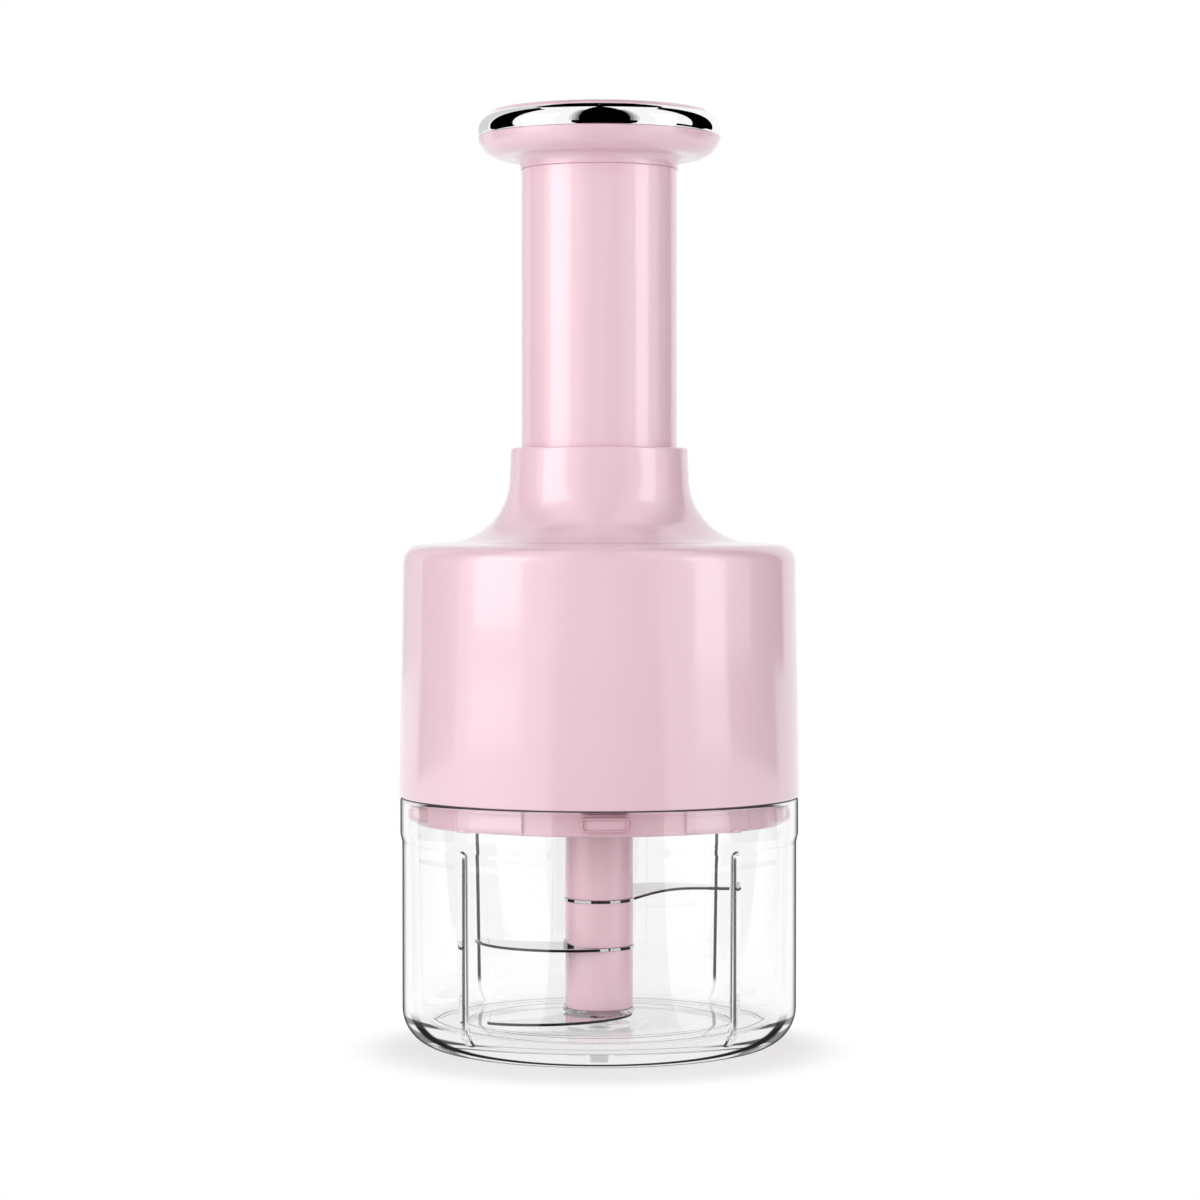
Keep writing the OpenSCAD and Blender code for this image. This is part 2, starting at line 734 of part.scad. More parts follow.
module ring_gear() {
    color("white") difference() {
        union() {
            disc(lid_top_z, gear_top_z, ring_gear_r);
            around(4, 0, 0) translate([ring_gear_r - 1, -key_w / 2, lid_top_z])
                cube([2.2, key_w, 3.2]);
        }
        translate([0, 0, lid_top_z - cut]) rotate(180 * (planet_teeth + 1) / ring_teeth)
            linear_extrude(gear_top_z - lid_top_z + 2 * cut)
                polygon(gear_outline(ring_teeth, ring_pitch_r - addendum, ring_pitch_r + dedendum, backlash));
    }
}

// ---- Return spring ----

spring_z = ceiling_top_z + 0.05;
spring_top_z = flange_z - 0.05;
spring_steps = 14; // segments in one turn
wire_sides = 6;

// Height of the wire's centre after a number of turns: the first and last turns lie flat
function wire_z(turn) =
    let (
        low = spring_z + wire_r,
        high = spring_top_z - wire_r,
        dead = 2.1 * wire_r,
        rise = (high - low - 2 * dead) / (coils - 2)
    )
    turn < 1 ? low + dead * turn
        : turn < coils - 1 ? low + dead + rise * (turn - 1)
        : low + dead + rise * (coils - 2) + dead * (turn - coils + 1);

function wire_ring(step) =
    let (turn = step / spring_steps, a = 360 * turn)
    [for (k = [0:wire_sides - 1])
        let (b = 360 * k / wire_sides, r = spring_r + wire_r * cos(b))
        [r * cos(a), r * sin(a), wire_z(turn) + wire_r * sin(b)]];

module return_spring() {
    rings = coils * spring_steps;
    points = [for (i = [0:rings]) each wire_ring(i)];
    sides = [for (i = [0:rings - 1], k = [0:wire_sides - 1])
        let (a = i * wire_sides + k, b = i * wire_sides + (k + 1) % wire_sides)
        [a, b, b + wire_sides, a + wire_sides]];
    ends = [[for (k = [wire_sides - 1:-1:0]) k],
            [for (k = [0:wire_sides - 1]) rings * wire_sides + k]];
    color("silver") polyhedron(points = points, faces = concat(sides, ends), convexity = 10);
}

// ---- Plunger ----

module plunger_tube() {
    color("pink") difference() {
        union() {
            disc(foot_top_z, tube_top_z, tube_r);
            disc(foot_z, foot_top_z + cut, tube_end_r);
            disc(tube_top_z - cut, head_plate_top_z, tube_end_r);
        }
        disc(foot_z - cut, head_plate_z, tube_r - tube_wall);
        around(3, peg_at, 90) disc(head_plate_z - cut, head_plate_z + 3, peg_r + seat_gap);
        around(3, knob_screw_at, 30) disc(head_plate_z + 0.3, head_plate_top_z + cut, screw_r + seat_gap);
    }
}

module plunger_foot() {
    color("white") difference() {
        union() {
            disc(foot_z, foot_top_z, foot_r);
            around(keys, 0, 90) translate([foot_r - 1, -key_w / 2, foot_z])
                cube([key_depth + 1, key_w, foot_h]);
        }
        disc(foot_z - cut, foot_top_z + cut, tube_end_r + seat_gap);
    }
}

module nut_tube() {
    color("white") difference() {
        union() {
            disc(nut_z, flange_z + cut, nut_tube_r);
            disc(flange_z, head_plate_z, flange_r);
            around(3, peg_at, 90) disc(head_plate_z - 1, head_plate_z + 2.6, peg_r);
        }
        disc(nut_z - cut, head_plate_z + cut, nut_bore_r);
    }
}

// Outline of the fluted screw, grown by a gap
function flute_outline(gap = 0) =
    [for (a = [0:15:345]) polar(flute_r + gap + flute_h * cos(flutes * a), a)];

// Fluted bar between two heights. It winds with the screw, so a nut and a screw cut by it always match
module fluted_bar(z, top, gap = 0) {
    translate([0, 0, z]) rotate(360 * z / screw_lead)
        linear_extrude(top - z, twist = -360 * (top - z) / screw_lead,
                       slices = ceil((top - z) * 45 / screw_lead), segments = 24)
            polygon(flute_outline(gap));
}

module drive_nut() {
    color("white") difference() {
        union() {
            disc(nut_flange_z, nut_z, nut_tube_r);
            disc(nut_flange_z, nut_z + nut_len, nut_bore_r - seat_gap);
        }
        fluted_bar(nut_flange_z - cut, nut_z + nut_len + cut, flute_gap);
    }
}

// ---- Knob ----

module knob_body() {
    neck_r = tube_r + 0.2;
    brim_r = knob_r - 0.1;
    color("pink") difference() {
        rotate_extrude() polygon(concat(
            [[0, knob_seat_z], [tube_end_r + seat_gap, knob_seat_z], [tube_end_r + seat_gap, tube_top_z]],
            [[neck_r, tube_top_z]],
            arc([neck_r + 3, tube_top_z], 3, 180, 96, 6),
            arc([brim_r - 6.5, knob_rim_z + 1.1], 6.6, -84, -10, 8),
            [[brim_r, knob_rim_z], [cap_skirt_r + 0.3, knob_rim_z],
             [cap_skirt_r + 0.3, ledge_z], [cap_skirt_r - knob_wall, ledge_z],
             [cap_skirt_r - knob_wall - 1.2, knob_floor_z], [0, knob_floor_z]]
        ));
        around(3, knob_screw_at, 30) disc(knob_seat_z - cut, knob_floor_z + cut, screw_r + 0.2);
    }
}

module bright_ring() {
    color("gainsboro") rotate_extrude() polygon(concat(
        [[cap_skirt_r + 0.1, knob_rim_z + 0.05], [knob_r - 0.3, knob_rim_z + 0.05]],
        arc([knob_r - 4.4, knob_rim_z + 1.6], 4.4, -20, 62, 8),
        [[cap_edge_r + 0.2, bright_top_z], [cap_skirt_r + 0.1, bright_top_z - 0.4]]
    ));
}

module knob_cap() {
    sphere_r = (cap_edge_r * cap_edge_r + dome_h * dome_h) / (2 * dome_h);
    edge_a = asin((cap_edge_r - 0.6) / sphere_r);
    centre_z = knob_top_z - sphere_r;
    in_r = cap_skirt_r - knob_wall;
    color("pink") rotate_extrude() polygon(concat(
        [[in_r, ledge_z + 0.05], [cap_skirt_r, ledge_z + 0.05], [cap_skirt_r, bright_top_z - 0.3]],
        [[cap_edge_r, bright_top_z + 0.05], [cap_edge_r, cap_side_z - 0.5]],
        arc([0, centre_z], sphere_r, 90 - edge_a, 90, 10),
        [[0, knob_top_z - knob_wall]],
        arc([0, centre_z], sphere_r - knob_wall, 90, 90 - asin((in_r - 0.5) / (sphere_r - knob_wall)), 8)
    ));
}

module knob_screws() {
    color("silver") around(3, knob_screw_at, 30)
        pan_screw(knob_floor_z, -1, knob_floor_z - head_plate_z - 0.5);
}

// ---- Drive ----

module drive_screw() {
    color("lightgray") union() {
        disc(carrier_z, carrier_top_z + cut, 3);
        hex_bar(carrier_top_z + stop_gap, ceiling_z, hex_flats);
        disc(ceiling_z - stop_gap, screw_z, journal_r);
        fluted_bar(screw_z - cut, screw_top_z - 1.5);
        rotate_extrude() polygon([
            [0, screw_top_z - 2.5], [flute_r - flute_h, screw_top_z - 2.5],
            [flute_r - flute_h, screw_top_z - 1.5], [2, screw_top_z], [0, screw_top_z]
        ]);
    }
}

// One springy arm of the pawl: it winds out from the hub until its tip meets a ratchet tooth
module pawl_arm() {
    hub = 7.4;
    tip = ratchet_r - 2.1;
    sweep = 78;
    width = 1.5;
    steps = 8;
    outer = [for (i = [0:steps]) polar(hub + (tip - hub) * i / steps, -sweep + sweep * i / steps)];
    inner = [for (i = [steps:-1:0])
        polar(hub - width + (tip - hub) * i / steps, -sweep + sweep * i / steps)];
    polygon(concat(outer, inner));
}

module pawl_disc() {
    z = carrier_top_z + stop_gap;
    color("white") difference() {
        union() {
            disc(z, ceiling_z - stop_gap, 7.6);
            translate([0, 0, z]) linear_extrude(ratchet_h - 2 * stop_gap)
                around(3) rotate(-1) pawl_arm();
        }
        hex_bar(z - cut, ceiling_z + cut, hex_flats + 2 * seat_gap);
    }
}

// The saw-tooth hole of the ratchet: each tooth has a steep face that the pawl pushes
function ratchet_outline() =
    let (step = 360 / ratchet_teeth)
    [for (k = [0:ratchet_teeth - 1]) each
        [polar(ratchet_r - 1.6, k * step), polar(ratchet_r - 3, k * step)]];

module planet_carrier() {
    color("white") difference() {
        union() {
            disc(carrier_z, carrier_top_z, carrier_r);
            disc(carrier_z, ratchet_top_z, ratchet_r);
        }
        translate([0, 0, carrier_top_z]) linear_extrude(ratchet_h + cut) polygon(ratchet_outline());
        disc(carrier_z - cut, carrier_top_z + cut, 3 + run_gap);
        around(planets, planet_at) disc(carrier_z - cut, carrier_top_z + cut, planet_pin_r + seat_gap);
        around(planets, planet_at, 60) disc(carrier_z - cut, carrier_top_z + cut, 7);
    }
}

module planet_pins() {
    color("silver") around(planets, planet_at)
        disc(lid_top_z + 1.5 * face_gap, carrier_top_z, planet_pin_r);
}

module planet_gear(index) {
    phi = index * 360 / planets;
    phase = phi * (1 + sun_teeth / planet_teeth) + 180 + 180 / planet_teeth;
    color("ivory") rotate(phi) translate([planet_at, 0, gear_z]) rotate(phase - phi)
        difference() {
            linear_extrude(gear_w)
                polygon(gear_outline(planet_teeth, planet_r - dedendum, planet_r + addendum, -backlash));
            translate([0, 0, -cut]) cylinder(h = gear_w + 2 * cut, r = planet_pin_r + run_gap);
            around(5, 6.5) translate([0, 0, -cut]) cylinder(h = gear_w + 2 * cut, r = 2);
        }
}

module planet_gear_1() {
    planet_gear(0);
}

module planet_gear_2() {
    planet_gear(1);
}

module planet_gear_3() {
    planet_gear(2);
}

module sun_gear() {
    color("ivory") difference() {
        translate([0, 0, gear_z]) linear_extrude(gear_w)
            polygon(gear_outline(sun_teeth, sun_r - dedendum, sun_r + addendum, -backlash));
        hex_bar(gear_z - cut, gear_top_z + cut, drive_flats + 2 * seat_gap);
    }
}

module drive_spindle() {
    color("silver") union() {
        hex_bar(shaft_top_z - socket_depth + 1, gear_top_z, drive_flats);
        disc(lid_z - 0.2, gear_z - 0.02, spindle_r);
    }
}

bowl();
floor_pin();
blade_shaft();
middle_sleeve();
lower_sleeve();
shaft_cap();
upper_blade();
middle_blade();
lower_blade();
housing();
lid();
rim_seal();
lid_screws();
spindle_bush();
guide_sleeve();
gear_cap();
ring_gear();
return_spring();
plunger_tube();
plunger_foot();
nut_tube();
drive_nut();
knob_body();
bright_ring();
knob_cap();
knob_screws();
drive_screw();
pawl_disc();
planet_carrier();
planet_pins();
planet_gear_1();
planet_gear_2();
planet_gear_3();
sun_gear();
drive_spindle();
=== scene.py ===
"""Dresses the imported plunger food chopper: a clear bowl, three steel blades and a pale pink head.

Each sub-assembly is a class that holds its sizes in millimetres and makes its pieces as surfaces
worked out with numpy. Blender's own units are metres, so the points are scaled as they go in.
"""

import json
import logging
import math
from dataclasses import dataclass
from enum import Enum

import bpy
import numpy as np
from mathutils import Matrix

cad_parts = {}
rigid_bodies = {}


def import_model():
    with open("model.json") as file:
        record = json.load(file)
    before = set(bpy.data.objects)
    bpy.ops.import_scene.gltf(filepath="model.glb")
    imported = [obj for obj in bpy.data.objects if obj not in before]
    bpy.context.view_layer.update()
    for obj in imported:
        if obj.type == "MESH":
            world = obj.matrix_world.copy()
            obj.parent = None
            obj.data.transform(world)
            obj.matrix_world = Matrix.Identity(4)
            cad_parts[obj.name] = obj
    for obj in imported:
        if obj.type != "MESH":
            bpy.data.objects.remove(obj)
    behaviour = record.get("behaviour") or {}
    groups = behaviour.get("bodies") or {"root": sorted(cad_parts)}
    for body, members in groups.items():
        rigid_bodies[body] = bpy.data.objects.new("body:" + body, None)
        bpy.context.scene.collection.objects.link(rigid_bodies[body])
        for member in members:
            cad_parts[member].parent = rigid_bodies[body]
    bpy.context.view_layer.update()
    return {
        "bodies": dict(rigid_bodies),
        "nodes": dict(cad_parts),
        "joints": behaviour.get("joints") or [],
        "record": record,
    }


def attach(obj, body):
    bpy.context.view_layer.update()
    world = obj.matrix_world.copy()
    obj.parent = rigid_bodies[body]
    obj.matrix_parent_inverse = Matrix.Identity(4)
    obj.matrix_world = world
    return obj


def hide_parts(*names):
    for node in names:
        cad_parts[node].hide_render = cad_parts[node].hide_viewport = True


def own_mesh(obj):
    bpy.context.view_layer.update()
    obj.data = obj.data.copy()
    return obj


Tree = bpy.types.NodeTree
Socket = bpy.types.NodeSocket
Outputs = bpy.types.bpy_prop_collection
Corner = tuple[float, ...]  # (r, z) in millimetres, and the radius of its rounding if it has one

MM = 0.001  # one millimetre in metres
MEET = 1e-9  # points closer than this, in millimetres, are one point
WHITE = "FFFFFF"
NONE_YET = 0.5  # parts a count of none from a count of one or more
log = logging.getLogger("chopper")


# ---------------------------------------------------------------- surfaces


@dataclass
class Shell:
    """A closed surface: its points in millimetres, and its three- and four-cornered faces."""

    points: np.ndarray
    tris: np.ndarray
    quads: np.ndarray

    def volume(self) -> float:
        """Sums the signed pyramids from the origin to each face, with each quad as two triangles.

        Returns:
            The volume inside, which is below zero where the faces look inwards.
        """
        split = np.vstack([self.tris, self.quads[:, [0, 1, 2]], self.quads[:, [0, 2, 3]]])
        a, b, c = (self.points[split[:, k]] for k in range(3))
        return float(np.einsum("ij,ij->i", a, np.cross(b, c)).sum() / 6.0)

    def outward(self) -> "Shell":
        """Turns every face outwards, by the sign of the volume.

        Returns:
            The shell, or one with its faces the other way round.
        """
        if self.volume() < 0:
            return Shell(self.points, self.tris[:, ::-1], self.quads[:, ::-1])
        return self


def grid_shell(points: np.ndarray, wrap_rows: bool = False) -> Shell:
    """Joins a grid of points into a surface, whose last column joins its first.

    A row whose points all meet, as at a lathe's axis, becomes one pole point.

    Args:
        points: The grid, as rows by columns by three.
        wrap_rows: Whether the last row joins the first, too.

    Returns:
        The surface, its faces outwards.
    """
    rows, columns = points.shape[:2]
    number = np.arange(rows * columns).reshape(rows, columns)
    pole = np.ptp(points, axis=1).max(axis=1) < MEET
    number[pole] = number[pole][:, :1]
    if wrap_rows:
        number = np.vstack([number, number[:1]])
    number = np.hstack([number, number[:, :1]])
    around = np.stack([number[:-1, :-1], number[:-1, 1:], number[1:, 1:], number[1:, :-1]], -1)
    around = around.reshape(-1, 4)
    first = around[:, 0] == around[:, 1]
    last = around[:, 2] == around[:, 3]
    tris = np.vstack([around[first & ~last][:, [0, 2, 3]], around[last & ~first][:, :3]])
    quads = around[~first & ~last]
    used, back = np.unique(np.concatenate([tris.ravel(), quads.ravel()]), return_inverse=True)
    back = back.ravel()
    return Shell(
        points.reshape(-1, 3)[used],
        back[: tris.size].reshape(-1, 3),
        back[tris.size :].reshape(-1, 4),
    ).outward()


def swept_shell(loops: np.ndarray) -> Shell:
    """Joins a row of loops into a surface, closed by a pole in the middle of each end loop.

    Args:
        loops: The loops, as loops by points by three.

    Returns:
        The surface, its faces outwards.
    """
    ends = loops[[0, -1]].mean(axis=1, keepdims=True).repeat(loops.shape[1], axis=1)
    return grid_shell(np.concatenate([ends[:1], loops, ends[1:]]))


def about_axis(radius: np.ndarray, angle: np.ndarray, height: np.ndarray) -> np.ndarray:
    """Returns the points (r cos a, r sin a, z) for arrays that numpy broadcasts together."""
    level = radius * np.cos(angle), radius * np.sin(angle)
    return np.stack(np.broadcast_arrays(*level, height), axis=-1)


def link_mesh(name: str, points: np.ndarray, faces: list[list[int]]) -> bpy.types.Object:
    """Puts a new mesh into the scene.

    Args:
        name: The name of the object and its mesh.
        points: The vertices, as rows of three, in metres.
        faces: Each face's vertices, by number.

    Returns:
        The object, at the origin, with its place in its mesh.
    """
    mesh = bpy.data.meshes.new(name)
    mesh.from_pydata(points.tolist(), [], faces)
    item = bpy.data.objects.new(name, mesh)
    bpy.context.scene.collection.objects.link(item)
    return item


def make_piece(name: str, shells: list[Shell], crease: float = 38.0) -> bpy.types.Object:
    """Makes one object from closed surfaces.

    Args:
        name: The piece's name.
        shells: Its surfaces.
        crease: The angle in degrees past which an edge stays sharp.

    Returns:
        The object.
    """
    starts = np.cumsum([0] + [len(s.points) for s in shells[:-1]])
    tris = np.vstack([s.tris + k for s, k in zip(shells, starts)])
    quads = np.vstack([s.quads + k for s, k in zip(shells, starts)])
    points = np.vstack([s.points for s in shells]) * MM
    piece = link_mesh(name, points, tris.tolist() + quads.tolist())
    mesh = piece.data
    mesh.polygons.foreach_set("use_smooth", np.ones(len(mesh.polygons), bool))
    mesh.set_sharp_from_angle(angle=math.radians(crease))
    mesh.update()
    log.info("%s: %d faces", name, len(mesh.polygons))
    return piece


def soft_path(corners: list[Corner], closed: bool = False, turn: float = 7.5) -> np.ndarray:
    """Rounds the corners of a path.

    An arc of radius R touches both legs at R over the tangent of half the angle between them.

    Args:
        corners: Each corner as (r, z), or as (r, z, radius) where it is rounded.
        closed: Whether the path returns to its start.
        turn: The largest step along an arc, in degrees.

    Returns:
        The path's points, as rows of (r, z).
    """
    at = np.array([corner[:2] for corner in corners], float)
    parts = []
    for i, (_, _, *rounding) in enumerate(corners):
        end = not closed and i in (0, len(corners) - 1)
        if end or not rounding:
            parts.append(at[i : i + 1])
            continue
        radius = rounding[0]
        a, b = at[i - 1] - at[i], at[(i + 1) % len(corners)] - at[i]
        a, b = a / np.hypot(*a), b / np.hypot(*b)
        half = math.acos(float(np.clip(a @ b, -1, 1))) / 2
        middle = at[i] + (a + b) / np.hypot(*(a + b)) * radius / math.sin(half)
        leave, reach = at[i] + a * radius / math.tan(half), at[i] + b * radius / math.tan(half)
        begin = math.atan2(*(leave - middle)[::-1])
        sweep = (math.atan2(*(reach - middle)[::-1]) - begin + math.pi) % (2 * math.pi) - math.pi
        angle = begin + sweep * np.linspace(0, 1, 2 + int(abs(math.degrees(sweep)) / turn))
        parts.append(middle + radius * np.stack([np.cos(angle), np.sin(angle)], -1))
    return np.vstack(parts)


def split_legs(path: np.ndarray, longest: float | np.ndarray) -> np.ndarray:
    """Splits each leg of an open path evenly, so that none is longer than its own limit.

    Args:
        path: The path's points, as rows of (r, z).
        longest: The longest step, for all legs or for each leg.

    Returns:
        The path with its new points.
    """
    length = np.hypot(*np.diff(path, axis=0).T)
    steps = np.maximum(1, np.ceil(length / longest)).astype(int)
    start = np.repeat(np.cumsum(steps) - steps, steps)
    leg = np.repeat(np.arange(len(steps)), steps)
    where = np.append(leg + (np.arange(steps.sum()) - start) / steps[leg], len(path) - 1)
    known = np.arange(len(path))
    return np.stack([np.interp(where, known, path[:, k]) for k in range(2)], -1)


def arc(
    centre: tuple[float, float], radius: float, start: float, stop: float, steps: int
) -> list[Corner]:
    """Divides an arc evenly: its points are the middle plus R (cos a, sin a).

    Args:
        centre: The middle, as (r, z).
        radius: The radius R.
        start: The first angle a, in degrees from the way out.
        stop: The last angle.
        steps: The number of steps between them.

    Returns:
        The points, as unrounded corners.
    """
    angle = np.radians(np.linspace(start, stop, steps + 1))
    across, up = centre[0] + radius * np.cos(angle), centre[1] + radius * np.sin(angle)
    return list(zip(across.tolist(), up.tolist()))


def lathe(path: np.ndarray, columns: int, wrap: bool = False) -> Shell:
    """Turns a path about the axis.

    Args:
        path: The path's points, as rows of (r, z).
        columns: The number of steps round the axis.
        wrap: Whether the path returns to its start.

    Returns:
        The surface, its faces outwards.
    """
    angle = np.linspace(0, 2 * np.pi, columns, endpoint=False)
    return grid_shell(about_axis(path[:, :1], angle, path[:, 1:]), wrap_rows=wrap)


def smooth(low: float, high: float, value: np.ndarray) -> np.ndarray:
    """Returns an S-curve from 0 at low to 1 at high: 3 t squared less 2 t cubed."""
    t = np.clip((value - low) / (high - low), 0, 1)
    return t * t * (3 - 2 * t)


def turn_between(angle: np.ndarray, spots: np.ndarray) -> np.ndarray:
    """Returns how far each angle, as a row, is from each spot, as a column, in degrees."""
    return np.abs((angle[:, None] - spots + 180) % 360 - 180)


def dense_turns(spots: np.ndarray, half: float, fine: float, coarse: float) -> np.ndarray:
    """Spreads angles round a circle, closer together near some of them.

    The angles are where a running sum of the wanted spacing's inverse passes whole numbers. The
    spacing eases from fine to coarse over half as much again as the dense stretch's half width.

    Args:
        spots: The middles of the dense stretches, in degrees.
        half: Half the width of a dense stretch, in degrees.
        fine: The spacing there, in degrees.
        coarse: The spacing elsewhere, in degrees.

    Returns:
        The angles, in degrees.
    """
    step = 0.05
    angle = np.linspace(0, 360, round(360 / step) + 1)
    eased = smooth(half, half * 1.5, turn_between(angle, spots).min(axis=1))
    spacing = fine + (coarse - fine) * eased
    total = np.concatenate([[0], np.cumsum(step / spacing[:-1])])
    count = round(total[-1])
    return np.interp(np.arange(count) / count * total[-1], total, angle)


# ---------------------------------------------------------------- finishes


def srgb(code: str) -> tuple[float, float, float, float]:
    """Turns an sRGB hex colour, such as 'F3DCE4', into Blender's linear colour.

    Args:
        code: Six hex digits.

    Returns:
        Linear red, green and blue, and an alpha of 1.
    """
    part = np.array([int(code[i : i + 2], 16) for i in (0, 2, 4)]) / 255.0
    part = np.where(part <= 0.04045, part / 12.92, ((part + 0.055) / 1.055) ** 2.4)
    return (*part.tolist(), 1.0)


def add_node(tree: Tree, kind: str, inputs: dict | None = None, **settings: object) -> Outputs:
    """Adds a shader node.

    Args:
        tree: The tree it goes into.
        kind: Its Blender type.
        inputs: A value or an output socket for each named or numbered input.
        **settings: The node's own settings.

    Returns:
        The node's outputs.
    """
    node = tree.nodes.new(kind)
    for name, value in settings.items():
        setattr(node, name, value)
    for key, value in (inputs or {}).items():
        if isinstance(value, Socket):
            tree.links.new(value, node.inputs[key])
        else:
            node.inputs[key].default_value = value
    return node.outputs


class Join(Enum):
    """How shares of 0 to 1 become one share: what all of them have, or what any of them has."""

    ALL = "MULTIPLY"
    ANY = "MAXIMUM"


def joined(tree: Tree, how: Join, *shares: Socket | float) -> Socket:
    """Joins shares one after the other.

    Args:
        tree: The tree it goes into.
        how: What the result keeps.
        *shares: The shares, of which the first is a socket.

    Returns:
        The joined share.
    """
    result = shares[0]
    for share in shares[1:]:
        result = add_node(tree, "ShaderNodeMath", {0: result, 1: share}, operation=how.value)[0]
    return result


def soft_share(tree: Tree, value: Socket, *marks: float) -> Socket:
    """Turns a value into a share of 0 to 1 by an S-curve, or by two that make a soft band.

    Args:
        tree: The tree it goes into.
        value: The value.
        *marks: Where the share leaves 0 and where it reaches 1, and for a band where it leaves 1
            and where it is back at 0.

    Returns:
        The share.
    """
    edges = [marks] if len(marks) == 2 else [marks[:2], marks[:1:-1]]
    curves = [
        add_node(
            tree,
            "ShaderNodeMapRange",
            {"Value": value, "From Min": low, "From Max": high},
            interpolation_type="SMOOTHSTEP",
        )["Result"]
        for low, high in edges
    ]
    return joined(tree, Join.ALL, *curves)


def bent_ray(tree: Tree) -> Socket:
    """Picks out the rays that clear plastic has bent and that nothing has mirrored before.

    Args:
        tree: The tree it goes into.

    Returns:
        A value that is 1 for them and 0 for all others.
    """
    rays = add_node(tree, "ShaderNodeLightPath")
    unmirrored = add_node(
        tree, "ShaderNodeMath", {0: rays["Glossy Depth"], 1: NONE_YET}, operation="LESS_THAN"
    )[0]
    return joined(tree, Join.ALL, unmirrored, rays["Is Transmission Ray"])


@dataclass(frozen=True)
class Finish:
    """A surface finish. Each kind fills in shader()."""

    name: str

    def shader(self, tree: Tree) -> Socket:
        """Builds the finish's nodes and returns its shader socket."""
        raise NotImplementedError

    def material(self) -> bpy.types.Material:
        """Makes this finish's material on first use.

        Returns:
            The material, the same one each time.
        """
        known = bpy.data.materials.get(self.name)
        if known is not None:
            return known
        made = bpy.data.materials.new(self.name)
        made.use_nodes = True
        tree = made.node_tree
        tree.nodes.clear()
        add_node(tree, "ShaderNodeOutputMaterial", {"Surface": self.shader(tree)})
        return made

    def clothe(self, *pieces: bpy.types.Object) -> None:
        """Puts the finish on pieces.

        Args:
            *pieces: The pieces, in each of which it fills every slot.
        """
        for piece in pieces:
            if piece.material_slots:
                for place in piece.material_slots:
                    place.material = self.material()
            else:
                piece.data.materials.append(self.material())


class Polish(Enum):
    """How far a mould was polished, as the roughness that it gives."""

    FINE = 0.2
    SATIN = 0.34
    PLAIN = 0.48
    MATT = 0.55


@dataclass(frozen=True)
class MouldedPlastic(Finish):
    """Injection-moulded plastic, such as ABS or acetal.

    The mould's polish gives an even sheen, with a faint waviness that bends long highlights, and
    the pigment varies very slightly where the melt has flowed.
    """

    light: str
    deep: str
    polish: Polish
    ior: float = 1.54
    flow_mm: float = 25.0
    patch_mm: float = 6.0
    dulled: tuple[float, float] = (0.85, 1.15)
    wave_mm: float = 9.0
    wave_depth_mm: float = 0.02
    wave_strength: float = 0.6
    coat: float = 0.0
    coat_roughness: float = 0.1
    edge_mm: float = 0.0
    shade: str | None = None
    shade_mm: float = 1.6

    def shader(self, tree: Tree) -> Socket:
        """Builds pigment clouds, a sheen that varies and the mould's waviness.

        Args:
            tree: The tree it goes into.

        Returns:
            The plastic's shader.
        """
        place = add_node(tree, "ShaderNodeTexCoord")["Object"]
        # The melt's flow leaves faint marks in the pigment, handling dulls the polish in small
        # patches, and the mould's face is a little wavy.
        flow, patch, wave = (
            add_node(
                tree,
                "ShaderNodeTexNoise",
                {"Vector": place, "Scale": 1 / (across * MM), "Detail": detail},
            )["Fac"]
            for across, detail in ((self.flow_mm, 2.0), (self.patch_mm, 3.0), (self.wave_mm, 2.0))
        )
        colour = add_node(
            tree,
            "ShaderNodeMixRGB",
            {"Fac": flow, "Color1": srgb(self.deep), "Color2": srgb(self.light)},
        )["Color"]
        smoothest, dullest = (self.polish.value * share for share in self.dulled)
        sheen = add_node(
            tree, "ShaderNodeMapRange", {"Value": patch, "To Min": smoothest, "To Max": dullest}
        )["Result"]
        relief = {
            "Height": wave,
            "Strength": self.wave_strength,
            "Distance": self.wave_depth_mm * MM,
        }
        if self.edge_mm:
            # The mould's edges are rounded by a few tenths of a millimetre, which catches light.
            relief["Normal"] = add_node(
                tree, "ShaderNodeBevel", {"Radius": self.edge_mm * MM}, samples=8
            )["Normal"]
        if self.shade:
            # Painted shade: corners and pockets are mixed towards a deeper colour by ambient
            # occlusion, as less light bounces out of them.
            shut = add_node(
                tree, "ShaderNodeAmbientOcclusion", {"Distance": self.shade_mm * MM}, samples=8
            )["AO"]
            colour = add_node(
                tree,
                "ShaderNodeMixRGB",
                {"Fac": shut, "Color1": srgb(self.shade), "Color2": colour},
            )["Color"]
        return add_node(
            tree,
            "ShaderNodeBsdfPrincipled",
            {
                "Base Color": colour,
                "Roughness": sheen,
                "IOR": self.ior,
                "Coat Weight": self.coat,
                "Coat Roughness": self.coat_roughness,
                "Normal": add_node(tree, "ShaderNodeBump", relief)["Normal"],
            },
        )["BSDF"]


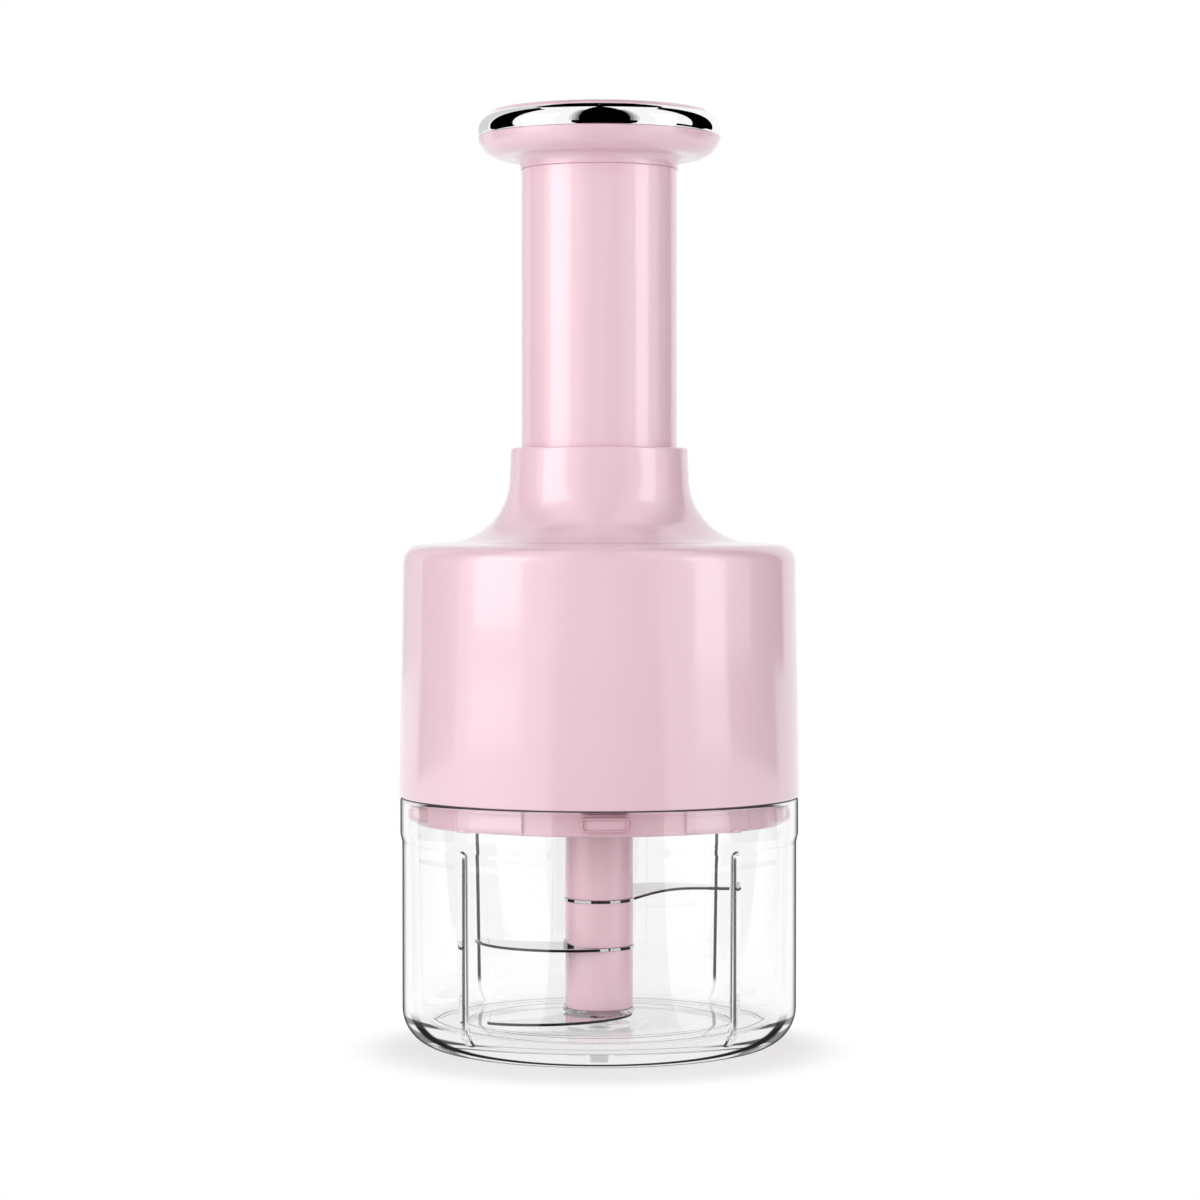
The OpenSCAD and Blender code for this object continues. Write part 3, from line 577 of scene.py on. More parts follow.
@dataclass(frozen=True)
class SheetSteel(Finish):
    """Stainless steel, rolled or turned and then polished, or a metal that looks much like it.

    Polishing leaves fine parallel lines that spread a highlight along them. They are drawn eight
    times as wide as they are, since they would not show in a picture of the whole chopper.
    """

    colour: str
    roughness: float
    bright: str = "E4E4E3"
    line_mm: float = 0.25
    drawn: float = 8.0
    stretch: tuple[float, float, float] = (1.0, 1.0, 12.0)
    dulled: tuple[float, float] = (0.7, 1.4)

    def shader(self, tree: Tree) -> Socket:
        """Builds the lines of the polish in tone and roughness.

        Args:
            tree: The tree it goes into.

        Returns:
            The metal's shader.
        """
        place = add_node(tree, "ShaderNodeTexCoord")["Object"]
        along = add_node(tree, "ShaderNodeMapping", {"Vector": place, "Scale": self.stretch})
        fineness = 1 / (self.line_mm * self.drawn * MM)
        line = add_node(
            tree,
            "ShaderNodeTexNoise",
            {"Vector": along["Vector"], "Scale": fineness, "Detail": 4.0},
        )["Fac"]
        smoothest, dullest = (self.roughness * share for share in self.dulled)
        sheen = add_node(
            tree, "ShaderNodeMapRange", {"Value": line, "To Min": smoothest, "To Max": dullest}
        )["Result"]
        tone = add_node(
            tree,
            "ShaderNodeMixRGB",
            {"Fac": line, "Color1": srgb(self.colour), "Color2": srgb(self.bright)},
        )["Color"]
        return add_node(
            tree,
            "ShaderNodeBsdfPrincipled",
            {"Base Color": tone, "Metallic": 1.0, "Roughness": sheen},
        )["BSDF"]


@dataclass(frozen=True)
class BrightPlate(Finish):
    """Chrome plate on moulded plastic: a mirror with hardly a mark on it."""

    colour: str = "F6F7F7"
    wipe_mm: float = 4.0
    roughness: tuple[float, float] = (0.02, 0.06)

    def shader(self, tree: Tree) -> Socket:
        """Builds the mirror, with wipe marks a few millimetres wide in its roughness.

        Args:
            tree: The tree it goes into.

        Returns:
            The plate's shader.
        """
        place = add_node(tree, "ShaderNodeTexCoord")["Object"]
        wipe = add_node(
            tree,
            "ShaderNodeTexNoise",
            {"Vector": place, "Scale": 1 / (self.wipe_mm * MM), "Detail": 3.0},
        )["Fac"]
        clean, wiped = self.roughness
        sheen = add_node(
            tree, "ShaderNodeMapRange", {"Value": wipe, "To Min": clean, "To Max": wiped}
        )["Result"]
        return add_node(
            tree,
            "ShaderNodeBsdfPrincipled",
            {"Base Color": srgb(self.colour), "Metallic": 1.0, "Roughness": sheen},
        )["BSDF"]


@dataclass(frozen=True)
class BowlHit:
    """Where a ray meets the bowl and what kind of ray it is, as sockets of one tree.

    Attributes:
        tree: The tree.
        rays: The outputs of its Light Path node.
        parts: The place's X, Y and Z.
        facing: 0 where the surface is seen square on, up to 1 where it is seen edge on.
        reach: The distance from the bowl's axis.
        diagonal: |x y| / (x^2 + y^2), which is a half on the diagonals, where the ribs stand.
        wall: 1 in the wall and 0 in the base.
        base: 1 in the base and 0 in the wall.
    """

    tree: Tree
    rays: Outputs
    parts: Outputs
    facing: Socket
    reach: Socket
    diagonal: Socket
    wall: Socket
    base: Socket


@dataclass(frozen=True)
class ClearMoulding(Finish):
    """Clear moulded plastic, polished: bright, with dark lines where the bowl is seen edge on.

    Its dark lines and tones are painted. Where the bowl is seen edge on its colour turns dark, a
    painted reflection, and rays that mirror inside the plastic again and again are ended with a
    painted tone: painted shade by the ribs and under the foot, and a painted pale glow elsewhere.

    Attributes:
        face: The tone where the surface is seen square on.
        edge: The painted dark tone where it is seen edge on, a painted reflection.
        edge_facing: Where the facing turns the first tone into the second.
        open: The tone for light from the lamps to what is inside.
        dark: The strength of the painted dark lines and of the painted shade.
        ior: The refractive index.
        pale: The strength of the painted pale glow that ends caught rays.
        mirrors: Rays are ended with the painted tone after more mirrorings than this.
        depth: Rays are ended with the painted tone after more turns of any kind than this.
        base_mm: The height where the base goes over into the wall.
        base_soft_mm: Half the height over which it does so.
        by_rib: The share x y / r^2 that rises into the part of the wall beside a rib.
        foot_mm: The heights between which the underside's painted tone turns to painted shade.
        outline_facing: Where the facing turns the painted outline dark.
        outline_depth: The wall's outline shows to rays with fewer turns than this.
        streak_facing: The facing of the foot's second line: its soft start and its soft end.
        flank: 1 - 2 x y / r^2 over the line on a rib's flank: its soft start and its soft end.
        flank_tone: How dark that line is.
        rib_top_mm: The height where it ends.
        rib_soft_mm: Half the height over which it does so.
        rings_mm: The radii of the floor's corner and of the hollow's edge.
        ring_half_mm: Half the width of the lines there.
        ring_tone: How dark they are.
    """

    face: str = WHITE
    edge: str = "1E2223"
    edge_facing: tuple[float, float] = (0.93, 0.995)
    open: str = "FDFEFE"
    dark: float = 0.02
    ior: float = 1.5
    pale: float = 0.86
    mirrors: float = 2.5
    depth: float = 8.5
    base_mm: float = 9.0
    base_soft_mm: float = 2.0
    by_rib: tuple[float, float] = (0.3, 0.4)
    foot_mm: tuple[float, float] = (0.8, 0.3)
    outline_facing: tuple[float, float] = (0.77, 0.94)
    outline_depth: float = 1.5
    streak_facing: tuple[float, ...] = (0.58, 0.62, 0.7, 0.74)
    flank: tuple[float, ...] = (0.005, 0.0062, 0.0098, 0.011)
    flank_tone: float = 0.85
    rib_top_mm: float = 52.0
    rib_soft_mm: float = 0.5
    rings_mm: tuple[float, float] = (43.3, 34.6)
    ring_half_mm: float = 0.45
    ring_tone: float = 0.8

    def hit(self, tree: Tree) -> BowlHit:
        """Works out where a ray meets the bowl.

        Args:
            tree: The tree it goes into.

        Returns:
            The place and the ray.
        """
        place = add_node(tree, "ShaderNodeTexCoord")["Object"]
        parts = add_node(tree, "ShaderNodeSeparateXYZ", {"Vector": place})
        flat = add_node(
            tree, "ShaderNodeVectorMath", {0: place, 1: (1, 1, 0)}, operation="MULTIPLY"
        )["Vector"]
        reach = add_node(tree, "ShaderNodeVectorMath", {0: flat}, operation="LENGTH")["Value"]
        square = add_node(
            tree, "ShaderNodeVectorMath", {0: flat, 1: flat}, operation="DOT_PRODUCT"
        )["Value"]
        product = joined(tree, Join.ALL, parts["X"], parts["Y"])
        share = add_node(tree, "ShaderNodeMath", {0: product, 1: square}, operation="DIVIDE")[0]
        low, high = self.base_mm - self.base_soft_mm, self.base_mm + self.base_soft_mm
        wall = soft_share(tree, parts["Z"], low * MM, high * MM)
        return BowlHit(
            tree,
            rays=add_node(tree, "ShaderNodeLightPath"),
            parts=parts,
            facing=add_node(tree, "ShaderNodeLayerWeight", {"Blend": 0.5})["Facing"],
            reach=reach,
            diagonal=add_node(tree, "ShaderNodeMath", {0: share}, operation="ABSOLUTE")[0],
            wall=wall,
            base=add_node(tree, "ShaderNodeMath", {0: 1.0, 1: wall}, operation="SUBTRACT")[0],
        )

    def painted_caught_tone(self, hit: BowlHit) -> Socket:
        """Builds the painted tone that ends rays caught in the plastic: painted shade by the ribs
        and under the foot, and a painted pale glow elsewhere.

        Args:
            hit: Where the ray meets the bowl.

        Returns:
            The tone's shader.
        """
        tree = hit.tree
        by_rib = joined(tree, Join.ALL, hit.wall, soft_share(tree, hit.diagonal, *self.by_rib))
        foot = soft_share(tree, hit.parts["Z"], *(mark * MM for mark in self.foot_mm))
        # Painted shade by the ribs and under the foot, and a painted pale glow elsewhere, as an
        # emission.
        shade = joined(tree, Join.ANY, by_rib, foot)
        tone = add_node(
            tree, "ShaderNodeMapRange", {"Value": shade, "To Min": self.pale, "To Max": self.dark}
        )["Result"]
        glow = add_node(tree, "ShaderNodeEmission", {"Color": srgb(WHITE), "Strength": tone})
        return glow["Emission"]

    def outline(self, hit: BowlHit) -> Socket:
        """Paints the dark outline and the ribs' dark flanks where the wall is seen edge on: a
        painted reflection of the dark edges of the set.

        Args:
            hit: Where the ray meets the bowl.

        Returns:
            How dark the line is there, from 0 to 1.
        """
        early = add_node(
            hit.tree,
            "ShaderNodeMath",
            {0: hit.rays["Ray Depth"], 1: self.outline_depth},
            operation="LESS_THAN",
        )[0]
        behind = joined(hit.tree, Join.ALL, hit.wall, early)
        seen = joined(hit.tree, Join.ANY, hit.rays["Is Camera Ray"], behind)
        steep = soft_share(hit.tree, hit.facing, *self.outline_facing)
        return joined(hit.tree, Join.ALL, steep, seen)

    def foot_line(self, hit: BowlHit) -> Socket:
        """Paints a second dark line of painted shade along the round of the foot, a little way in
        from its outline.

        Args:
            hit: Where the ray meets the bowl.

        Returns:
            How dark the line is there, from 0 to 1.
        """
        streak = soft_share(hit.tree, hit.facing, *self.streak_facing)
        return joined(hit.tree, Join.ALL, hit.rays["Is Camera Ray"], hit.base, streak)

    def flank_line(self, hit: BowlHit) -> Socket:
        """Paints a dark line of painted shade down one flank of each rib, 3 to 4 degrees from the
        bowl's diagonal.

        1 - 2 |x y| / (x^2 + y^2) is 0 on the diagonal and grows with the square of the angle.

        Args:
            hit: Where the ray meets the bowl.

        Returns:
            How dark the line is there, from 0 to 1.
        """
        tree = hit.tree
        off = add_node(
            tree, "ShaderNodeMath", {0: hit.diagonal, 1: -2.0, 2: 1.0}, operation="MULTIPLY_ADD"
        )[0]
        x, y = (
            add_node(tree, "ShaderNodeMath", {0: hit.parts[part]}, operation="ABSOLUTE")[0]
            for part in "XY"
        )
        side = add_node(tree, "ShaderNodeMath", {0: x, 1: y}, operation="LESS_THAN")[0]
        high, low = self.rib_top_mm + self.rib_soft_mm, self.rib_top_mm - self.rib_soft_mm
        return joined(
            tree,
            Join.ALL,
            soft_share(tree, off, *self.flank),
            side,
            soft_share(tree, hit.parts["Z"], high * MM, low * MM),
            hit.wall,
            hit.rays["Is Camera Ray"],
            self.flank_tone,
        )

    def floor_lines(self, hit: BowlHit) -> Socket:
        """Paints the floor's corner and the hollow's edge as thin dark rings of painted shade.

        Args:
            hit: Where the ray meets the bowl.

        Returns:
            How dark the rings are there, from 0 to 1.
        """
        half = self.ring_half_mm
        rings = (
            soft_share(hit.tree, hit.reach, *(mark * MM for mark in (at - half, at, at, at + half)))
            for at in self.rings_mm
        )
        drawn = joined(hit.tree, Join.ANY, *rings)
        return joined(hit.tree, Join.ALL, drawn, self.ring_tone, hit.base)

    def shader(self, tree: Tree) -> Socket:
        """Builds glass with painted dark lines, painted dark edges and painted tones for caught
        rays, which lets the lamps through to what is inside.

        Args:
            tree: The tree it goes into.

        Returns:
            The bowl's shader.
        """
        hit = self.hit(tree)
        # Painted reflection: the glass's own colour turns dark where it is seen edge on.
        steep = soft_share(tree, hit.facing, *self.edge_facing)
        tone = add_node(
            tree,
            "ShaderNodeMixRGB",
            {"Fac": steep, "Color1": srgb(self.face), "Color2": srgb(self.edge)},
        )["Color"]
        glass = add_node(
            tree,
            "ShaderNodeBsdfPrincipled",
            {"Base Color": tone, "Roughness": 0.0, "IOR": self.ior, "Transmission Weight": 1.0},
        )["BSDF"]
        counts = (("Glossy Depth", self.mirrors), ("Ray Depth", self.depth))
        past = (
            add_node(
                tree, "ShaderNodeMath", {0: hit.rays[count], 1: most}, operation="GREATER_THAN"
            )[0]
            for count, most in counts
        )
        caught = {0: joined(tree, Join.ANY, *past), 1: glass, 2: self.painted_caught_tone(hit)}
        body = add_node(tree, "ShaderNodeMixShader", caught)["Shader"]
        parts = (self.outline, self.foot_line, self.flank_line, self.floor_lines)
        lines = joined(tree, Join.ANY, *(part(hit) for part in parts))
        # The painted dark lines are mixed in as a nearly black emission.
        black = add_node(tree, "ShaderNodeEmission", {"Color": srgb(WHITE), "Strength": self.dark})
        drawn = {0: lines, 1: body, 2: black["Emission"]}
        lined = add_node(tree, "ShaderNodeMixShader", drawn)["Shader"]
        clear = add_node(tree, "ShaderNodeBsdfTransparent", {"Color": srgb(self.open)})["BSDF"]
        lamp = joined(tree, Join.ANY, hit.rays["Is Shadow Ray"], hit.rays["Is Diffuse Ray"])
        return add_node(tree, "ShaderNodeMixShader", {0: lamp, 1: lined, 2: clear})["Shader"]


# The outer shells' ABS: a satin body under a clear, glossy skin, which the lamps draw stripes on.
SHELL_ABS = MouldedPlastic(
    "ABS, injection moulded, pale pink", "F0CDD8", "EECAD5", Polish.SATIN, coat=1.0
)
# The lid's ABS: deeper in colour, with painted shade that deepens its corners and edges that catch
# light.
LID_ABS = MouldedPlastic(
    "ABS, injection moulded, lid pink",
    "EDC6D1",
    "EBC2CE",
    Polish.FINE,
    coat=0.5,
    edge_mm=0.3,
    shade="DDAEBC",
    shade_mm=0.8,
)
# The shaft's polypropylene: paler, with one soft gloss and no skin over it. Its colour is lifted as
# painted light, to make up for the shade under the head and inside the bowl.
SHAFT_PLASTIC = MouldedPlastic(
    "Polypropylene, moulded, shaft pink", "F6D3DC", "F3CED9", Polish.FINE
)
# The drive's plastics: acetal is ivory, filled nylon grey and dull, and ABS a clean white.
ACETAL = MouldedPlastic("Acetal, moulded gears", "EDEAE0", "E6E2D6", Polish.SATIN)
NYLON = MouldedPlastic("Nylon, glass filled, moulded", "C2C3C5", "B6B7BA", Polish.PLAIN)
WHITE_ABS = MouldedPlastic("ABS, moulded, white", "F0F0EE", "E9E9E6", Polish.SATIN)
# The seal's silicone: matt and dark. Its dark colour is also painted shade, so that it shows as the
# fine shadow line in the gap under the head.
SILICONE = MouldedPlastic("Silicone, pressed, dark", "4A3D42", "43373C", Polish.MATT, ior=1.41)
# The blades' sheet is nearly a mirror. Its upright edges past the ring get a duller metal painted
# almost black: a painted reflection of the dark set.
BLADE_STEEL = SheetSteel("Stainless sheet, ground and polished", "C6C7C8", 0.06)
PAINTED_DARK_EDGE = SheetSteel("Stainless edge, sheared, painted dark", "2A2B2D", 0.3, bright="505153")
# Pins, screws and springs have a softer, drawn gloss, and sintered bronze is duller and grainy.
PLAIN_STEEL = SheetSteel("Stainless bar, drawn", "B4B5B7", 0.22, stretch=(1.0, 1.0, 6.0))
BRONZE = SheetSteel("Bronze, sintered", "B08A55", 0.42, line_mm=0.4, stretch=(1.0, 1.0, 1.0))
# The knob's ring mirrors the set, with black where there is no lamp.
CHROME = BrightPlate("Chrome plate, mirror bright")
# The bowl is as clear as glass, drawn by painted dark outlines and lines, with painted tones for
# caught light.
CLEAR_BOWL = ClearMoulding("Clear bowl, moulded and polished")


def fit_piece(piece: bpy.types.Object, body: str, node: str, finish: Finish) -> None:
    """Lets a piece ride on a body and stand for a CAD node, and gives it its finish.

    Args:
        piece: The piece.
        body: The CAD body that it moves with.
        node: The CAD node that it replaces.
        finish: The finish.
    """
    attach(piece, body)
    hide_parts(node)
    finish.clothe(piece)


# ---------------------------------------------------------------- the bowl


@dataclass
class ClearBowl:
    """The clear bowl, with its thinner rim, four upright ribs and hollow base."""

    outer_r: float = 51.2
    inner_r: float = 48.6
    height: float = 64.4
    floor: float = 5.2
    corner_r: float = 10.0
    inner_corner_r: float = 5.6
    rim_r: float = 51.7
    rim_in_r: float = 50.1
    rim_soft: float = 0.78
    step_z: float = 54.2
    step: float = 0.5
    step_below: float = 1.2
    step_above: float = 0.8
    step_soft: float = 3.0
    hollow_r: float = 34.0
    hollow: float = 1.2
    hollow_soft: float = 0.4
    boss_r: float = 12.4
    boss: float = 0.7
    boss_soft: float = 0.6
    collar: float = 0.9
    collar_w: float = 3.2
    collar_slope: float = 0.8
    collar_soft: float = 0.3
    bore_soft: float = 0.1
    pin_r: float = 2.5
    pin_gap: float = 0.05
    pin_z: float = 2.6
    rib_half: float = 1.8
    rib_below_step: float = 0.3
    rib_foot: tuple[float, float] = (4.0, 0.3)
    rib_angles: tuple[float, ...] = (50.5, 131.5, 227.0, 313.0)
    rib_depths: tuple[float, ...] = (1.25, 1.25, 1.0, 1.0)
    rib_softs: tuple[float, ...] = (0.2, 0.2, 1.5, 1.5)
    leg: float = 3.0
    tip_leg: float = 0.1
    tip_half: float = 2.6
    tip_lower: float = 1.5
    rib_turns: tuple[float, float, float] = (2.25, 0.075, 1.8)

    def section(self) -> np.ndarray:
        """Draws the bowl's section, from the middle of its underside round to its floor.

        The wall thins in a straight line from its foot up to the rim, and its two faces step
        outwards side by side.

        Returns:
            The section's points, as rows of (r, z).
        """
        low, high = self.step_z - self.step_below, self.step_z + self.step_above
        foot = self.floor + self.inner_corner_r
        thin = (self.outer_r - self.inner_r - self.rim_r + self.rim_in_r) / (self.height - foot)
        raised = self.floor + self.boss
        bore_r, collar_r = self.pin_r + self.pin_gap, self.pin_r + self.collar_w
        corners = [
            (0, self.hollow),
            (self.hollow_r, self.hollow, self.hollow_soft),
            (self.hollow_r + self.hollow, 0, self.hollow_soft),
            (self.outer_r, 0, self.corner_r),
            (self.outer_r, low, self.step_soft),
            (self.rim_r, high, self.step_soft),
            (self.rim_r, self.height, self.rim_soft),
            (self.rim_in_r, self.height, self.rim_soft),
            (self.rim_in_r - thin * (self.height - high), high, self.step_soft),
            (self.rim_in_r - self.step - thin * (self.height - low), low, self.step_soft),
            (self.inner_r, self.floor, self.inner_corner_r),
            (self.boss_r, self.floor, self.boss_soft),
            (self.boss_r - self.boss, raised, self.hollow_soft),
            (collar_r, raised, self.hollow_soft),
            (collar_r - self.collar_slope, raised + self.collar, self.collar_soft),
            (bore_r, raised + self.collar, self.bore_soft),
            (bore_r, self.pin_z),
            (0, self.pin_z),
        ]
        return split_legs(soft_path(corners, turn=6.0), self.leg)

    def inner_side(self, path: np.ndarray) -> np.ndarray:
        """Picks out the inner wall and floor.

        Args:
            path: The section's points.

        Returns:
            1 for each point there, and 0 for the others.
        """
        rank, off_boss = np.arange(len(path)), path[:, 0] > self.boss_r + 1
        top = rank[path[:, 1] > self.height - 0.01].max()
        return ((rank > top) & off_boss).astype(float)

    def rib_height(self, path: np.ndarray, away: np.ndarray, which: np.ndarray) -> np.ndarray:
        """Works out how far the ribs stand off the inner wall.

        A rib is a strip with a round upper end. Its height is full inside that outline and eases
        to nothing over its soft edge, as an S-curve of the distance to the outline. Its foot dies
        away along the round inner corner.

        Args:
            path: The section's points.
            away: The distance round the wall from the nearest rib, for each column.
            which: That rib's number, for each column.

        Returns:
            The height for each point and column.
        """
        radius, z = path[:, :1], path[:, 1:]
        end = self.step_z - self.rib_below_step - self.rib_half
        outline = self.rib_half - np.hypot(away, np.maximum(z - end, 0))
        foot = smooth(*(self.inner_r - inset for inset in self.rib_foot), radius)
        crest = np.array(self.rib_depths)[which] * foot
        rise = smooth(0, 1, outline / np.array(self.rib_softs)[which])
        return crest * rise * self.inner_side(path)[:, None]

    def surface(self) -> Shell:
        """Turns the section about the axis and pushes the ribs out along its normals.

        The normal of the section is its direction turned by a right angle, into the bowl. Points
        lie closer together round the ribs' ends and across the ribs.

        Returns:
            The bowl's surface.
        """
        path = self.section()
        middle = (path[:-1] + path[1:]) / 2
        spot = self.step_z - self.rib_below_step - self.tip_lower
        tip = (middle[:, 0] < self.outer_r - 1) & (np.abs(middle[:, 1] - spot) < self.tip_half)
        path = split_legs(path, np.where(tip, self.tip_leg, self.leg))
        ribs = np.array(self.rib_angles)
        angle = dense_turns(ribs, *self.rib_turns)
        off = turn_between(angle, ribs)
        away = np.radians(off.min(axis=1)) * self.inner_r
        height = self.rib_height(path, away, off.argmin(axis=1))
        ahead = np.gradient(path, axis=0)
        ahead /= np.hypot(*ahead.T)[:, None]
        into = np.stack([ahead[:, 1], -ahead[:, 0]], -1)
        into *= np.where((into * [-1, 1]).sum(axis=1) < 0, -1.0, 1.0)[:, None]
        radius = path[:, :1] + into[:, :1] * height
        z = path[:, 1:] + into[:, 1:] * height
        return grid_shell(about_axis(radius, np.radians(angle), z))

    def build(self, frame: dict) -> None:
        """Makes the bowl and dresses the pin in its floor.
        """
        bowl = make_piece("clear_bowl", [self.surface()], crease=70)
        fit_piece(bowl, "bowl_body", "bowl", CLEAR_BOWL)
        PLAIN_STEEL.clothe(frame["nodes"]["floor_pin"])


# ---------------------------------------------------------------- the blades


@dataclass
class CurvedBlade:
    """One blade: a keyed ring, a curved arm with a ground edge and a folded tab.

    The arm's edges are arcs, each given by its radius and the place of its middle as shares of
    the reach, and by how far across from the blade's middle line it starts at the ring. The tip
    is a share of the reach, too, and it is rounded from a share of the way along.
    """

    name: str
    node: str
    z: float
    turn: float
    bend: float
    run: float
    thick: float = 0.8
    reach: float = 35.0
    cutting: tuple[float, ...] = (0.72, 0.2286, -0.4)
    cutting_from: float = -2.4
    back: tuple[float, ...] = (0.771, 0.343, -0.914)
    back_from: float = 4.2
    tip: float = -0.375
    round_from: float = 0.93
    ground: float = 0.6
    ring_r: float = 9.2
    ring_soft: float = 0.05
    bore_r: float = 6.25
    flat_past_ring: float = 0.1
    dark_past_ring: float = 0.6
    upright: float = 0.6
    shaft_r: float = 8.8
    tab: float = 1.4
    tab_low: float = 0.1
    tab_from: float = -4.0
    tab_to: float = 62.0
    tab_gap: float = 0.06
    tab_thick: float = 0.56

    def edge(self, shares: tuple[float, ...], across: float, along: np.ndarray) -> np.ndarray:
        """Draws one edge of the arm in plan: the middle plus R (cos a, sin a).

        Args:
            shares: The arc's radius and the place of its middle, as shares of the reach.
            across: Where the arc starts, across from the blade's middle line.
            along: The place along the arm, from 0 at the root to 1 at the tip.

        Returns:
            The edge's points.
        """
        radius, middle = self.reach * shares[0], self.reach * np.array(shares[1:])
        start = math.acos((across - middle[0]) / radius)
        stop = math.asin((self.tip * self.reach - middle[1]) / radius)
        angle = start + (stop - start) * along
        return middle + radius * np.stack([np.cos(angle), np.sin(angle)], -1)

    def lift(self, away: np.ndarray) -> np.ndarray:
        """Returns how far the sheet has risen away from the axis: bend times a quarter sine."""
        t = np.clip((away - self.ring_r - self.flat_past_ring) / self.run, 0, 1)
        return self.bend * np.sin(t * np.pi / 2)

    def arm(self) -> Shell:
        """Makes the arm: a thin loop across the sheet, carried from the root to the tip.

        Each loop goes from the back to the cutting edge along the top and returns underneath.
        The sheet is ground thin over its last stretch before the cutting edge. Rows lie closer
        together near the ring, where the sheet bends, and at the tip, which is rounded by a
        quarter circle that narrows the sheet.

        Returns:
            The arm's surface.
        """
        bend, rest = np.linspace(0, 0.4, 60), np.linspace(0.41, self.round_from, 36)
        rounded = 1 - self.round_from
        tip = self.round_from + rounded * np.sin(np.linspace(0.15, 1, 9) * np.pi / 2)
        along = np.concatenate([bend, rest, tip])
        front = self.edge(self.cutting, self.cutting_from, along)
        behind = self.edge(self.back, self.back_from, along)
        past = np.clip((along - self.round_from) / rounded, 0, 1)
        close = np.sqrt(np.clip(1 - past**2, 0.02, 1))[:, None]
        middle, half = (front + behind) / 2, (front - behind) / 2 * close
        front, behind = middle + half, middle - half
        width = np.hypot(*(front - behind).T)
        bevel = np.clip(self.ground / np.maximum(width, MEET), 0.02, 0.5)
        # The share of the way across from the back, for the top, the ground edge and underneath.
        across = np.concatenate([[0.004], np.linspace(0.02, 0.9, 24), [0.95]])
        top = np.minimum(across, (1 - bevel)[:, None])
        whole = np.ones_like(bevel)
        rim = np.stack([1 - bevel / 2, whole * 0.998, whole, whole], -1)
        share = np.hstack([top, rim, top[:, ::-1]])
        # The share of the way up through the sheet, with the back's two edges broken.
        high, low = np.full(top.shape[1], 0.985), np.full(top.shape[1], 0.015)
        high[0], low[-1] = 0.82, 0.18
        height = np.concatenate([high, [0.98, 0.95, 0.90, 0.08], low]) * self.thick
        plan = behind[:, None, :] + (front - behind)[:, None, :] * share[..., None]
        z = height + self.lift(np.hypot(plan[..., 0], plan[..., 1]))
        return swept_shell(np.concatenate([plan, z[..., None]], axis=-1))

    def ring(self) -> Shell:
        """Makes the flat ring, with its edges broken.

        Returns:
            The ring's surface.
        """
        inner, outer, t = self.bore_r, self.ring_r, self.thick
        around = ((inner, 0), (outer, 0), (outer, t), (inner, t))
        corners = [(*corner, self.ring_soft) for corner in around]
        return lathe(soft_path(corners, closed=True, turn=91), 144, wrap=True)

    def fold(self) -> Shell:
        """Makes the folded tab: an upright strip on the ring's edge, whose top slopes.

        The top is level over the first tenth and then falls in a straight line.

        Returns:
            The tab's surface.
        """
        share = np.linspace(0, 1, 25)[:, None]
        angle = np.radians(self.tab_from + (self.tab_to - self.tab_from) * share)
        top = self.thick + self.tab * np.clip((1 - share) / 0.9, 0.02, 1)
        low = np.full_like(top, self.tab_low)
        inner = self.shaft_r + self.tab_gap
        radius = inner + self.tab_thick * np.array([0, 1, 1, 0])
        return swept_shell(about_axis(radius, angle, np.hstack([low, low, top, top])))

    def placed(self, shell: Shell) -> Shell:
        """Turns a surface about the axis to the blade's direction and raises it to its place.

        Args:
            shell: The surface, as drawn.

        Returns:
            The surface in its place.
        """
        c, s = math.cos(math.radians(self.turn)), math.sin(math.radians(self.turn))
        turned = shell.points @ np.array([[c, s, 0], [-s, c, 0], [0, 0, 1]])
        return Shell(turned + [0, 0, self.z], shell.tris, shell.quads)

    def paint_dark_edges(self, piece: bpy.types.Object) -> None:
        """Paints the arm's upright faces past the ring, its sheared and ground edges, in a duller
        metal that is almost black: a painted reflection of the dark set.

        Args:
            piece: The blade.
        """
        mesh = piece.data
        normal, middle = np.empty(3 * len(mesh.polygons)), np.empty(3 * len(mesh.polygons))
        mesh.polygons.foreach_get("normal", normal)
        mesh.polygons.foreach_get("center", middle)
        away = np.hypot(middle[::3], middle[1::3]) / MM
        steep = np.abs(normal[2::3]) < self.upright
        edge = steep & (away > self.ring_r + self.dark_past_ring)
        # Painted reflection: the upright faces get a nearly black metal in place of the dark set
        # that they mirror.
        mesh.materials.append(PAINTED_DARK_EDGE.material())
        mesh.polygons.foreach_set("material_index", edge.astype(np.int32))

    def build(self) -> None:
        """Makes the blade."""
        shells = [self.placed(shell) for shell in (self.ring(), self.arm(), self.fold())]
        piece = make_piece(self.name, shells, crease=28)
        fit_piece(piece, "blade_unit", self.node, BLADE_STEEL)
        self.paint_dark_edges(piece)


